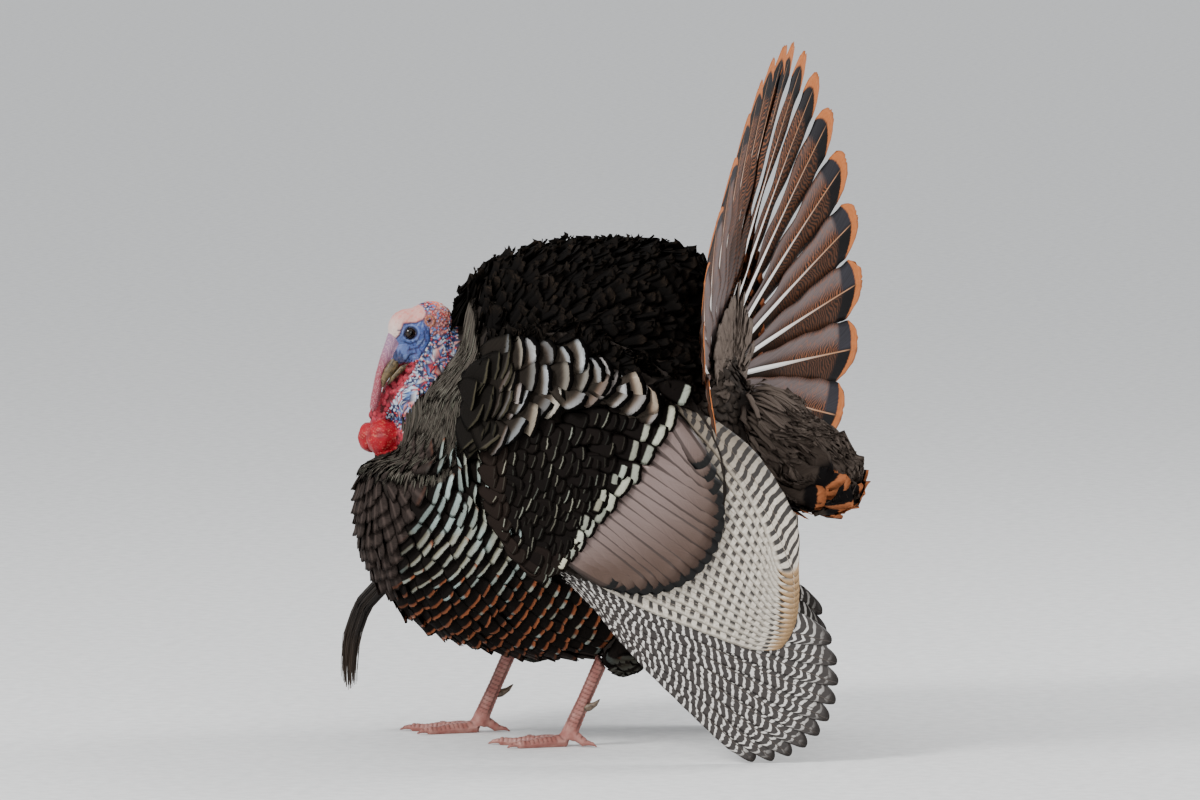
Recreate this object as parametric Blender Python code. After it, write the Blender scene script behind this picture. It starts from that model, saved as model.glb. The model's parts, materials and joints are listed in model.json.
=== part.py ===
"""A wild turkey gobbler in full strut, life size, as a still museum model.

Metres, +Z up. The bird looks towards -X, its left side is -Y and it stands on z = 0.
Soft parts are grown from lobes, the great feathers are slabs laid over curved sheets, and where
two parts meet, one is cut back from the other with a hair's gap between them.
"""

import math

import bmesh
import bpy
import numpy as np
from mathutils import Matrix, Vector

GAP = 0.0004  # air between two parts that touch
WHOLE = {}  # each part's mesh before anything was cut from it

# Trunk: height of a section, its front and rear x, its half-width, and how blunt its front is.
TRUNK_SECTIONS = (
    (0.096, -0.095, -0.005, 0.036, 2.25),
    (0.103, -0.135, 0.032, 0.062, 2.25),
    (0.118, -0.182, 0.070, 0.092, 2.25),
    (0.143, -0.226, 0.106, 0.120, 2.25),
    (0.180, -0.262, 0.140, 0.145, 2.25),
    (0.225, -0.283, 0.168, 0.161, 2.25),
    (0.270, -0.288, 0.186, 0.170, 2.25),
    (0.298, -0.287, 0.191, 0.173, 2.25),
    (0.314, -0.282, 0.191, 0.173, 2.25),
    (0.325, -0.266, 0.190, 0.173, 2.25),
    (0.333, -0.235, 0.189, 0.173, 2.25),
    (0.356, -0.213, 0.186, 0.172, 2.20),
    (0.400, -0.203, 0.172, 0.166, 2.05),
    (0.450, -0.168, 0.153, 0.154, 1.75),
    (0.495, -0.166, 0.140, 0.135, 1.65),
    (0.527, -0.156, 0.130, 0.112, 1.75),
    (0.553, -0.128, 0.120, 0.086, 2.00),
    (0.568, -0.086, 0.100, 0.057, 2.25),
    (0.577, -0.030, 0.062, 0.027, 2.25),
)

# Tail: 18 great feathers in a fan that leans back and whose halves sweep back a little.
FAN_ROOT = Vector((0.1357, 0.0, 0.417))
FAN_LENGTH = 0.397
FAN_LEAN = math.radians(9.8)
FAN_SWEEP = math.radians(6.4)  # how far each half's outermost feather sweeps back
FAN_TWIST = math.radians(5.2)  # added to the right half, taken from the left
FAN_LEFT_SHARE = 0.90  # the left half is spread this much as wide as the right
FAN_LEFT_BACK = math.radians(6.2)  # how far the left half's outermost feather turns back
FAN_LEFT_TURN = (math.radians(62), math.radians(28), 1.6)  # where that starts, over what, power
FAN_BEND = 0.020  # how far the tips curve back
FAN_PER_SIDE = 9
FAN_STEP = math.radians(12)  # from one feather to the next
FAN_NOTCH = 0.08  # how far the outline dips between two tips, as a share of the length
COVERT_LENGTH = 0.205  # upper tail coverts, in front of the fan

# Wing: a sheet that hangs on the flank. Its half-width is greatest at the widest point.
WING_HALF_WIDTH = 0.203
WING_WIDEST = (0.0, 0.28)  # x and z of the widest point
WING_FRONT_DROP, WING_REAR_DROP, WING_TOP_DROP = 2.4, 0.45, 1.15  # per metre squared
WING_FLARE = 0.07  # per metre below the widest point
ARM_CENTRE = (0.025, 0.343)
ARM_RADII = (0.174, 0.134)
ARM_TILT = math.radians(-32)
ARM_THICK = 0.036
PRIMARIES = 10
SECONDARIES = 14
FLIGHT_THICK = 0.003
RIGHT_FOLD, FOLD_X = 0.83, -0.10  # the right wing is drawn in towards this x

# Head: modelled looking along -X about the skull's centre, then pitched down and turned left.
SKULL = Vector((-0.2016, -0.008, 0.469))
HEAD_PITCH = math.radians(-42)
HEAD_YAW = math.radians(24)
EYE_RADIUS = 0.0078

# Legs: x of each foot, and the lean of the shanks.
FOOT_X = {"left": -0.030, "right": -0.160}
FOOT_Y = 0.062
SHANK_LENGTH = 0.165
SHANK_LEAN = math.radians(24)
TOE_LENGTHS = {"inner": 0.056, "middle": 0.074, "outer": 0.058}
TOE_SPREAD = {"inner": 34, "middle": 0, "outer": -34}  # degrees, towards the other foot first
HIND_TOE = 0.026
TOE_SIDES = 6  # faces round a front toe
CLAW_LENGTH = 0.015

SKIN = ((0.55, 0.09, 0.08), 0.5)
BLUE_SKIN = ((0.30, 0.42, 0.68), 0.5)
FLESH_RED = ((0.72, 0.04, 0.05), 0.4)
BLACK_FEATHER = ((0.018, 0.015, 0.014), 0.6)
BRONZE_FEATHER = ((0.20, 0.12, 0.09), 0.45)
BARRED_FEATHER = ((0.25, 0.23, 0.20), 0.6)
TAIL_FEATHER = ((0.22, 0.12, 0.07), 0.6)
HORN = ((0.16, 0.11, 0.07), 0.4)
LEG_SCALE = ((0.33, 0.12, 0.10), 0.5)
EYE_BROWN = ((0.02, 0.01, 0.006), 0.08)


# ---------------------------------------------------------------- making and cutting objects


def clear_scene():
    for obj in list(bpy.data.objects):
        bpy.data.objects.remove(obj)


def finish_for(name, look):
    colour, roughness = look
    material = bpy.data.materials.new(name)
    material.use_nodes = True
    shader = material.node_tree.nodes["Principled BSDF"]
    shader.inputs["Base Color"].default_value = (*colour, 1.0)
    shader.inputs["Roughness"].default_value = roughness
    shader.inputs["Metallic"].default_value = 0.0
    return material


def object_from(bm, name, look):
    """A smooth-shaded object from a bmesh, with normals facing out. WHOLE keeps its uncut shape."""
    bmesh.ops.recalc_face_normals(bm, faces=bm.faces)
    bmesh.ops.triangulate(bm, faces=bm.faces)
    mesh = bpy.data.meshes.new(name)
    bm.to_mesh(mesh)
    bm.free()
    mesh.shade_smooth()
    mesh.materials.append(finish_for(name, look))
    obj = bpy.data.objects.new(name, mesh)
    bpy.context.scene.collection.objects.link(obj)
    WHOLE[name] = mesh.copy()
    return obj


def bake_modifiers(obj):
    bpy.context.view_layer.update()
    graph = bpy.context.evaluated_depsgraph_get()
    mesh = bpy.data.meshes.new_from_object(obj.evaluated_get(graph))
    obj.modifiers.clear()
    obj.data = mesh


def combine(target, tool, operation):
    """Applies a Boolean of two closed meshes to the target and deletes the tool."""
    modifier = target.modifiers.new("combine", "BOOLEAN")
    modifier.operation = operation
    modifier.solver = "EXACT"
    modifier.object = tool
    bake_modifiers(target)
    bpy.data.objects.remove(tool)


def keep_largest_island(obj):
    """Deletes the crumbs that a cut can leave."""
    bm = bmesh.new()
    bm.from_mesh(obj.data)
    islands, seen = [], set()
    for start in bm.verts:
        if start in seen:
            continue
        island, queue = [], [start]
        seen.add(start)
        while queue:
            vert = queue.pop()
            island.append(vert)
            for edge in vert.link_edges:
                other = edge.other_vert(vert)
                if other not in seen:
                    seen.add(other)
                    queue.append(other)
        islands.append(island)
    islands.sort(key=len)
    crumbs = [vert for island in islands[:-1] for vert in island]
    bmesh.ops.delete(bm, geom=crumbs, context="VERTS")
    bm.to_mesh(obj.data)
    bm.free()


def cut_back(target, *neighbours):
    """Cuts the target where a neighbour is, leaving GAP between them."""
    for neighbour in neighbours:
        tool = neighbour.copy()
        tool.data = WHOLE[neighbour.name].copy()
        bpy.context.scene.collection.objects.link(tool)
        bm = bmesh.new()
        bm.from_mesh(tool.data)
        bm.normal_update()
        for vert in bm.verts:
            vert.co += vert.normal * GAP * 1.3
        bm.to_mesh(tool.data)
        bm.free()
        combine(target, tool, "DIFFERENCE")
    keep_largest_island(target)


def folded_right(obj, name):
    """The same wing piece on the bird's right side, a little more folded."""
    bm = bmesh.new()
    bm.from_mesh(obj.data)
    for vert in bm.verts:
        vert.co = (FOLD_X + (vert.co.x - FOLD_X) * RIGHT_FOLD, -vert.co.y, vert.co.z)
    bmesh.ops.reverse_faces(bm, faces=bm.faces)
    mesh = bpy.data.meshes.new(name)
    bm.to_mesh(mesh)
    bm.free()
    mesh.shade_smooth()
    mesh.materials.append(obj.data.materials[0])
    copy = bpy.data.objects.new(name, mesh)
    bpy.context.scene.collection.objects.link(copy)
    WHOLE[name] = mesh.copy()
    return copy


# ---------------------------------------------------------------- the three kinds of shape


def field_at(point, lobes, blend):
    """Sum of the lobes' influence: 1 on the surface, more inside it."""
    total = 0.0
    for centre, radii, pitch in lobes:
        away = point - Vector(centre)
        if pitch:
            away = Matrix.Rotation(math.radians(-pitch), 3, "Y") @ away
        reach = Vector((away.x / radii[0], away.y / radii[1], away.z / radii[2])).length
        total += math.exp(-blend * (reach - 1))
    return total


def grown(name, look, lobes, blend=14, cells=(14, 9), seed=None, place=None):
    """A smooth body around ellipsoid lobes: (centre, radii, pitch in degrees) each.

    Each vertex of a ball goes out along its ray from the seed point until the lobes' field is 1.
    cells are the ball's segments around and from pole to pole.
    """
    seed = Vector(seed or lobes[0][0])
    longest = sum(max(radii) for _, radii, _ in lobes) * 2
    bm = bmesh.new()
    bmesh.ops.create_uvsphere(bm, u_segments=cells[0], v_segments=cells[1], radius=1.0)
    for vert in bm.verts:
        ray = vert.co.normalized()
        inside, outside = 0.0, longest
        for _ in range(26):
            middle = (inside + outside) / 2
            if field_at(seed + ray * middle, lobes, blend) > 1:
                inside = middle
            else:
                outside = middle
        vert.co = seed + ray * inside
    if place is not None:
        bmesh.ops.transform(bm, matrix=place, verts=bm.verts)
    return object_from(bm, name, look)


def slab(name, look, front, back):
    """A closed plate between two grids of points with the same rows and columns."""
    rows, columns = len(front), len(front[0])
    bm = bmesh.new()
    grids = [[[bm.verts.new(p) for p in row] for row in grid] for grid in (front, back)]
    for grid in grids:
        for i in range(rows - 1):
            for j in range(columns - 1):
                bm.faces.new((grid[i][j], grid[i][j + 1], grid[i + 1][j + 1], grid[i + 1][j]))
    rim = [(0, j) for j in range(columns)]
    rim += [(i, columns - 1) for i in range(1, rows)]
    rim += [(rows - 1, j) for j in range(columns - 2, -1, -1)]
    rim += [(i, 0) for i in range(rows - 2, 0, -1)]
    for (i, j), (k, m) in zip(rim, rim[1:] + rim[:1]):
        bm.faces.new((grids[0][i][j], grids[0][k][m], grids[1][k][m], grids[1][i][j]))
    return object_from(bm, name, look)


def tube(name, look, path, radii, sides=10, flatten=1.0, place=None):
    """A round-sided limb along a path in the XZ plane, with a radius at each point.

    flatten scales its width across the path, along Y.
    """
    bm = bmesh.new()
    rings = []
    for i, (point, radius) in enumerate(zip(path, radii)):
        before, after = path[max(i - 1, 0)], path[min(i + 1, len(path) - 1)]
        along = (Vector(after) - Vector(before)).normalized()
        across = Vector((0, 1, 0))
        up = along.cross(across)
        ring = []
        for k in range(sides):
            angle = 2 * math.pi * k / sides
            offset = across * math.cos(angle) * flatten + up * math.sin(angle)
            ring.append(bm.verts.new(Vector(point) + offset * radius))
        rings.append(ring)
    for one, two in zip(rings, rings[1:]):
        for k in range(sides):
            bm.faces.new((one[k], one[(k + 1) % sides], two[(k + 1) % sides], two[k]))
    bm.faces.new(rings[0])
    bm.faces.new(rings[-1])
    if place is not None:
        bmesh.ops.transform(bm, matrix=place, verts=bm.verts)
    return object_from(bm, name, look)


# ---------------------------------------------------------------- trunk, neck and head


def make_trunk():
    """The puffed body: rounded sections one above the other."""
    sides, rear_roundness = 26, 2.25
    bm = bmesh.new()
    rings = []
    for z, front, rear, half_width, front_roundness in TRUNK_SECTIONS:
        middle, half_length = (front + rear) / 2, (rear - front) / 2
        ring = []
        for k in range(sides):
            angle = 2 * math.pi * k / sides
            c, s = math.cos(angle), math.sin(angle)
            roundness = front_roundness if c < 0 else rear_roundness
            size = (abs(c) ** roundness + abs(s) ** roundness) ** (-1 / roundness)
            ring.append(bm.verts.new((middle + half_length * size * c, half_width * size * s, z)))
        rings.append(ring)
    for one, two in zip(rings, rings[1:]):
        for k in range(sides):
            bm.faces.new((one[k], one[(k + 1) % sides], two[(k + 1) % sides], two[k]))
    bm.faces.new(rings[0])
    bm.faces.new(rings[-1])
    return object_from(bm, "trunk", BLACK_FEATHER)


def make_neck():
    lobes = [
        ((-0.186, -0.003, 0.444), (0.030, 0.028, 0.044), 0),
        ((-0.203, -0.004, 0.386), (0.040, 0.040, 0.040), 0),
        ((-0.193, 0, 0.340), (0.046, 0.060, 0.050), 0),
        ((-0.214, -0.010, 0.420), (0.016, 0.018, 0.024), 0),  # bare throat
        ((-0.239, -0.010, 0.394), (0.011, 0.014, 0.022), 0),
    ]
    return grown("neck", SKIN, lobes, 14, (20, 14), seed=(-0.208, -0.005, 0.395))


def head_matrix():
    turn = Matrix.Rotation(HEAD_YAW, 4, "Z") @ Matrix.Rotation(HEAD_PITCH, 4, "Y")
    return Matrix.Translation(SKULL) @ turn


def make_head():
    lobes = [
        ((0.006, 0, 0.005), (0.031, 0.0210, 0.027), 0),  # brain case
        ((-0.0135, 0, 0.0225), (0.0205, 0.0150, 0.0195), 0),  # swollen brow
        ((-0.038, 0, 0.002), (0.017, 0.0100, 0.012), -16),  # base of the bill
        ((-0.008, 0, -0.014), (0.026, 0.0165, 0.019), 0),  # cheeks and throat
    ]
    return grown("head", BLUE_SKIN, lobes, 12, (24, 16), (-0.008, 0, 0.004), head_matrix())


def make_eye(name, side):
    bm = bmesh.new()
    bmesh.ops.create_icosphere(bm, subdivisions=2, radius=EYE_RADIUS)
    bmesh.ops.translate(bm, vec=(-0.0155, side * 0.0095, 0.0165), verts=bm.verts)
    bmesh.ops.transform(bm, matrix=head_matrix(), verts=bm.verts)
    return object_from(bm, name, EYE_BROWN)


def make_bill():
    upper_path = [(-0.036, 0, 0.002), (-0.050, 0, 0.001), (-0.064, 0, -0.002), (-0.074, 0, -0.006)]
    upper_path.append((-0.0800, 0, -0.011))
    lower_path = [(-0.034, 0, -0.0095), (-0.050, 0, -0.0095), (-0.064, 0, -0.0105)]
    lower_path.append((-0.0735, 0, -0.0125))
    place = head_matrix()
    upper_radii = (0.0078, 0.0070, 0.0055, 0.0036, 0.0008)
    upper = tube("bill_upper", HORN, upper_path, upper_radii, 10, 0.85, place)
    lower = tube("bill_lower", HORN, lower_path, (0.0045, 0.0040, 0.0030, 0.0008), 10, 1.15, place)
    return upper, lower


def make_snood():
    """The fleshy finger that grows over the base of the bill and hangs past its tip."""
    path = [(-0.030, 0, 0.024), (-0.040, 0.001, 0.018), (-0.056, 0.003, 0.0105)]
    path += [(-0.074, 0.006, -0.001), (-0.091, 0.006, -0.013), (-0.103, 0.005, -0.0215)]
    path += [(-0.106, 0.005, -0.0238)]
    radii = (0.0075, 0.0072, 0.0058, 0.0050, 0.0046, 0.0040, 0.0012)
    return tube("snood", FLESH_RED, path, radii, 10, place=head_matrix())


def make_wattles():
    """The bulbs at the foot of the bare neck: two great ones and the folds above them."""
    near = [((-0.250, -0.022, 0.348), (0.0190, 0.0180, 0.0200), 0)]
    far = [((-0.271, 0.006, 0.347), (0.0145, 0.0150, 0.0170), 0)]
    ridge = [
        ((-0.256, -0.007, 0.372), (0.0130, 0.0150, 0.0160), 0),
        ((-0.2485, -0.009, 0.3875), (0.0115, 0.0120, 0.0135), 0),  # folds up to the bill
        ((-0.2405, -0.010, 0.4000), (0.0110, 0.0115, 0.0135), 0),
        ((-0.2330, -0.0105, 0.4150), (0.0085, 0.0105, 0.0115), 0),
    ]
    return (
        grown("wattle_left", FLESH_RED, near, cells=(13, 9)),
        grown("wattle_right", FLESH_RED, far, cells=(12, 8)),
        grown("wattle_upper", FLESH_RED, ridge, cells=(12, 10), seed=(-0.245, -0.009, 0.393)),
    )


def make_beard():
    """The tuft of bristles on the breast."""
    path = [(-0.225, 0, 0.196), (-0.254, 0, 0.180), (-0.280, 0, 0.152), (-0.293, 0, 0.115)]
    path += [(-0.296, 0, 0.080), (-0.295, 0, 0.050)]
    return tube("beard", BLACK_FEATHER, path, (0.012, 0.012, 0.0105, 0.010, 0.009, 0.0065), 10)


# ---------------------------------------------------------------- tail


def fan_point(angle, reach, forward=0.0):
    """A point of the tail fan: angle from straight up, positive to the bird's right."""
    lean = Vector((math.sin(FAN_LEAN), 0, math.cos(FAN_LEAN)))
    angle *= FAN_LEFT_SHARE if angle < 0 else 1
    sweep = (FAN_SWEEP + FAN_TWIST * math.sin(angle)) * abs(math.sin(angle)) ** 1.5
    start, over, power = FAN_LEFT_TURN
    sweep += FAN_LEFT_BACK * max(0.0, (-angle - start) / over) ** power
    swept = abs(math.sin(angle)) * math.sin(sweep) * reach + FAN_BEND * (reach / FAN_LENGTH) ** 2
    point = FAN_ROOT + lean * math.cos(angle) * reach
    point += Vector((swept, math.sin(angle) * math.cos(sweep) * reach, 0))
    return point + Vector((-math.cos(FAN_LEAN), 0, math.sin(FAN_LEAN))) * forward


def fan_rim(angle, notch):
    """1 at each feather's tip and less between two tips."""
    place = abs(angle) / FAN_STEP - 0.35
    off = place - min(max(round(place), 0), FAN_PER_SIDE - 1)
    return 1 - notch * min(abs(off) * 2, 1) ** 1.5


def fan_slab(name, look, outer, notch, narrow, gap_front, rows, per_feather):
    """A scalloped half-disc of feathers. narrow shortens its sides, and gap_front is how far
    its back lies before the fan's."""
    inner, thick_root, thick_tip = 0.02, 0.012, 0.003
    edge = FAN_STEP * (FAN_PER_SIDE - 0.15)
    columns = FAN_PER_SIDE * per_feather
    angles = [-edge + 2 * edge * j / (2 * columns) for j in range(2 * columns + 1)]
    front, back = [], []
    for i in range(rows + 1):
        share = i / rows
        thick = thick_root + (thick_tip - thick_root) * share
        rims = [outer * fan_rim(a, notch) * (1 - narrow * math.sin(a) ** 2) for a in angles]
        reaches = [inner + (rim - inner) * share for rim in rims]
        back.append([fan_point(a, r, gap_front(share)) for a, r in zip(angles, reaches)])
        front.append([fan_point(a, r, gap_front(share) + thick) for a, r in zip(angles, reaches)])
    return slab(name, look, front, back)


def make_tail():
    def behind(_share):
        return 0.0

    def before_fan(share):
        reach = 0.02 + (COVERT_LENGTH - 0.02) * share
        return 0.013 - 0.010 * (reach / FAN_LENGTH) + GAP

    fan = fan_slab("tail_fan", TAIL_FEATHER, FAN_LENGTH, FAN_NOTCH, 0.0, behind, 2, 3)
    coverts = fan_slab(
        "tail_coverts", BRONZE_FEATHER, COVERT_LENGTH, 0.07, 0.3, before_fan, 1, 2
    )
    under_lobes = [
        ((0.184, 0, 0.362), (0.062, 0.075, 0.058), 30),
        ((0.236, 0, 0.325), (0.072, 0.085, 0.048), 26),
    ]
    under = grown("undertail_coverts", BLACK_FEATHER, under_lobes, 14, (16, 10), (0.215, 0, 0.348))
    return fan, coverts, under


# ---------------------------------------------------------------- wings


def wing_y(x, z, out=0.0):
    """How far the left wing's sheet is from the bird's middle at x and z (negative: left)."""
    ahead, above = x - WING_WIDEST[0], z - WING_WIDEST[1]
    width = WING_HALF_WIDTH + out
    width -= (WING_REAR_DROP if ahead > 0 else WING_FRONT_DROP) * ahead**2
    width -= WING_TOP_DROP * above**2 if above > 0 else WING_FLARE * above
    return -width


def on_wing(x, z, out):
    return Vector((x, wing_y(x, z, out), z))


def make_arm():
    """The folded arm with all its coverts, as a lens on the flank."""
    rings, spokes = 3, 26
    front, back = [], []
    for i in range(rings + 1):
        share = 0.04 + 0.96 * i / rings
        dome = math.sqrt(max(1 - share**2, 0))
        outer_row, inner_row = [], []
        for j in range(spokes + 1):
            angle = 2 * math.pi * j / spokes
            along = ARM_RADII[0] * share * math.cos(angle)
            across = ARM_RADII[1] * share * math.sin(angle)
            x = ARM_CENTRE[0] + along * math.cos(ARM_TILT) - across * math.sin(ARM_TILT)
            z = ARM_CENTRE[1] + along * math.sin(ARM_TILT) + across * math.cos(ARM_TILT)
            outer_row.append(on_wing(x, z, 0.004 + 0.010 * dome))
            inner_row.append(on_wing(x, z, -0.006 - ARM_THICK * dome))
        front.append(outer_row)
        back.append(inner_row)
    return lens("wing_left_arm", BRONZE_FEATHER, front, back)


def lens(name, look, front, back):
    """A closed lens from two sets of rings, the outermost ring of each joined by a rim."""
    bm = bmesh.new()
    grids = []
    for rings in (front, back):
        grid = [[bm.verts.new(p) for p in row[:-1]] for row in rings]
        count = len(grid[0])
        for one, two in zip(grid, grid[1:]):
            for j in range(count):
                bm.faces.new((one[j], one[(j + 1) % count], two[(j + 1) % count], two[j]))
        bm.faces.new(grid[0])
        grids.append(grid[-1])
    count = len(grids[0])
    for j in range(count):
        k = (j + 1) % count
        bm.faces.new((grids[0][j], grids[0][k], grids[1][k], grids[1][j]))
    return object_from(bm, name, look)


def primary_line(share):
    """Root and tip of a primary in x and z: 0 next to the secondaries, 1 the leading one."""
    root = Vector((-0.020, 0.222)) + Vector((0.045, -0.040)) * share
    droop = math.radians(14.8 + 28.2 * share)
    length = 0.332 + 0.075 * share - 0.145 * share**2
    return root, root + Vector((math.cos(droop), -math.sin(droop))) * length


def secondary_line(share):
    """Root and tip of a secondary in x and z: 0 next to the primaries, 1 on top at the back."""
    root = Vector((0.000, 0.225)).lerp(Vector((0.115, 0.410)), share)
    droop = math.radians(20 + 34 * share)
    length = 0.264 - 0.018 * share
    return root, root + Vector((math.cos(droop), -math.sin(droop))) * length


def flight_slab(name, line, feathers, bow, layer):
    """A plate of feathers side by side. line gives root and tip at a share of the row, and
    bow is how far the last feather's middle is pushed off the straight line."""
    columns, rows = feathers * 2, 3
    front, back = [], []
    for i in range(rows + 1):
        share = i / rows
        outer_row, inner_row = [], []
        for j in range(columns + 1):
            root, tip = line(j / columns)
            notch = 0.955 if j % 2 else 1.0
            along = tip - root
            off = Vector((-along.y, along.x)).normalized() * bow * j / columns
            point = root + along * share * notch + off * 4 * share * (1 - share)
            z = max(point.y, 0.0)
            outer_row.append(on_wing(point.x, z, layer + FLIGHT_THICK))
            inner_row.append(on_wing(point.x, z, layer))
        front.append(outer_row)
        back.append(inner_row)
    return slab(name, BARRED_FEATHER, front, back)


def make_flight_feathers():
    primaries = flight_slab("wing_left_primaries", primary_line, PRIMARIES, 0.0, -0.0075)
    secondaries = flight_slab("wing_left_secondaries", secondary_line, SECONDARIES, 0.027, -0.0038)
    return primaries, secondaries


# ---------------------------------------------------------------- legs


def make_thigh(name, side):
    x = FOOT_X[name] + SHANK_LENGTH * math.sin(SHANK_LEAN)
    lobes = [
        ((x + 0.012, side * 0.070, 0.190), (0.058, 0.048, 0.065), 0),
        ((x + 0.002, side * FOOT_Y, 0.135), (0.036, 0.032, 0.055), 0),
    ]
    return grown("thigh_" + name, BLACK_FEATHER, lobes, 12, (16, 10), (x, side * 0.065, 0.16))


def toe_curve(length):
    """Heights and radii of a toe that lies on the ground, with its two knuckles."""
    points, radii = [], []
    for share in (0.0, 0.2, 0.4, 0.6, 0.8, 1.0):
        knuckle = 0.0007 * math.cos(4 * math.pi * share)
        radius = 0.0082 - 0.0034 * share + knuckle
        points.append((-length * share, 0, radius * 0.75))
        radii.append(radius)
    return points, radii


def make_foot(name, side):
    """Shank, three front toes, the hind toe and the claws as one piece, with a flat sole."""
    ankle = Vector((FOOT_X[name], side * FOOT_Y, 0.0))
    up = Vector((math.sin(SHANK_LEAN), 0, math.cos(SHANK_LEAN)))
    shares = (0.0, 0.10, 0.3, 0.6, 0.85, 1.0)
    path = [ankle + Vector((0.004, 0, 0.010)) + up * SHANK_LENGTH * s for s in shares]
    radii = (0.0095, 0.0088, 0.0076, 0.0078, 0.0100, 0.0105)
    shank = tube("shank_" + name, LEG_SCALE, path, radii, 10, 0.9)
    for toe, length in TOE_LENGTHS.items():
        turn = Matrix.Rotation(math.radians(TOE_SPREAD[toe]) * -side, 4, "Z")
        place = Matrix.Translation(ankle) @ turn
        points, radii = toe_curve(length)
        combine(shank, tube("toe", LEG_SCALE, points, radii, TOE_SIDES, place=place), "UNION")
        combine(shank, make_claw(place, -length, 0.0038), "UNION")
    hind = [(0.004, 0, 0.018), (0.014, 0, 0.013), (HIND_TOE, 0, 0.0052)]
    place = Matrix.Translation(ankle) @ Matrix.Rotation(math.radians(12 * side), 4, "Z")
    combine(shank, tube("toe", LEG_SCALE, hind, (0.0060, 0.0056, 0.0044), 8, place=place), "UNION")
    back = place @ Matrix.Rotation(math.pi, 4, "Z")
    combine(shank, make_claw(back, -HIND_TOE, 0.0042), "UNION")
    bm = bmesh.new()
    bm.from_mesh(shank.data)
    whole = bm.verts[:] + bm.edges[:] + bm.faces[:]
    ground = {"plane_co": (0, 0, 0), "plane_no": (0, 0, 1), "clear_inner": True}
    cut = bmesh.ops.bisect_plane(bm, geom=whole, **ground)
    edges = [e for e in cut["geom_cut"] if isinstance(e, bmesh.types.BMEdge)]
    bmesh.ops.triangle_fill(bm, edges=edges, use_beauty=True)
    bmesh.ops.recalc_face_normals(bm, faces=bm.faces)
    bm.to_mesh(shank.data)
    bm.free()
    WHOLE[shank.name] = shank.data.copy()
    spur_at = ankle + up * SHANK_LENGTH * 0.30
    spur_path = [(0.003, 0, 0.0), (0.011, 0, 0.001), (0.019, 0, 0.005), (0.025, 0, 0.011)]
    place = Matrix.Translation(spur_at) @ Matrix.Rotation(math.radians(20 * side), 4, "Z")
    spur = tube("spur_" + name, HORN, spur_path, (0.0055, 0.0046, 0.0028, 0.0006), 8, place=place)
    return shank, spur


def make_claw(place, tip_x, height):
    """The nail that runs on from the end of a toe."""
    path = [(tip_x + 0.004, 0, height), (tip_x - 0.003, 0, height + 0.0010)]
    path += [(tip_x - 0.009, 0, height + 0.0002), (tip_x - CLAW_LENGTH, 0, 0.0014)]
    return tube("claw", HORN, path, (0.0030, 0.0029, 0.0020, 0.0006), 6, place=place)


# ---------------------------------------------------------------- putting the bird together


def build():
    clear_scene()
    trunk, neck, head = make_trunk(), make_neck(), make_head()
    eyes = [make_eye("eye_left", -1), make_eye("eye_right", 1)]
    upper, lower = make_bill()
    snood = make_snood()
    wattles = make_wattles()
    beard = make_beard()
    fan, coverts, under = make_tail()
    cut_back(neck, trunk, upper, lower)
    cut_back(head, trunk, neck, *eyes)
    cut_back(upper, head)
    cut_back(lower, head, upper)
    cut_back(snood, head, upper)
    cut_back(wattles[0], neck, trunk)
    cut_back(wattles[1], wattles[0], neck, trunk)
    cut_back(wattles[2], wattles[0], wattles[1], neck, head, snood, upper, lower)
    cut_back(beard, trunk)
    cut_back(fan, trunk)
    cut_back(coverts, trunk)
    cut_back(under, trunk, fan, coverts)
    arm = make_arm()
    primaries, secondaries = make_flight_feathers()
    for plate in (secondaries, primaries):
        cut_back(plate, arm)
    for piece in (arm, primaries, secondaries):
        other = folded_right(piece, piece.name.replace("left", "right"))
        for side in (piece, other):
            cut_back(side, trunk, fan, coverts, under)
    for name, side in (("left", -1), ("right", 1)):
        thigh = make_thigh(name, side)
        cut_back(thigh, trunk)
        shank, spur = make_foot(name, side)
        cut_back(shank, thigh, trunk)
        cut_back(spur, shank)
    stand_on_origin()


def stand_on_origin():
    """Moves the whole bird so that the middle of its base is the origin."""
    solids = [o for o in bpy.data.objects if o.type == "MESH"]
    points = np.concatenate([[v.co[:] for v in o.data.vertices] for o in solids])
    low, high = points.min(axis=0), points.max(axis=0)
    shift = Vector((-(low[0] + high[0]) / 2, -(low[1] + high[1]) / 2, -low[2]))
    for obj in solids:
        obj.data.transform(Matrix.Translation(shift))
    print("moved by", tuple(round(s, 5) for s in shift))


build()
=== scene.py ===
# %% [markdown]
# # A wild turkey gobbler in full strut
#
# The frame is a set of plain solids at life size. This script dresses them: one skin under the
# whole bird, rows of separate feathers over it, and the eyes, bill, beard, legs and spurs.
# Everything is worked out in the bird's own axes: it looks towards -X, its left side is -Y.

# %% Open the frame
import json
import math

import bmesh
import bpy
import numpy as np
from mathutils import Matrix, Vector
from mathutils.bvhtree import BVHTree
from mathutils.kdtree import KDTree

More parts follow.
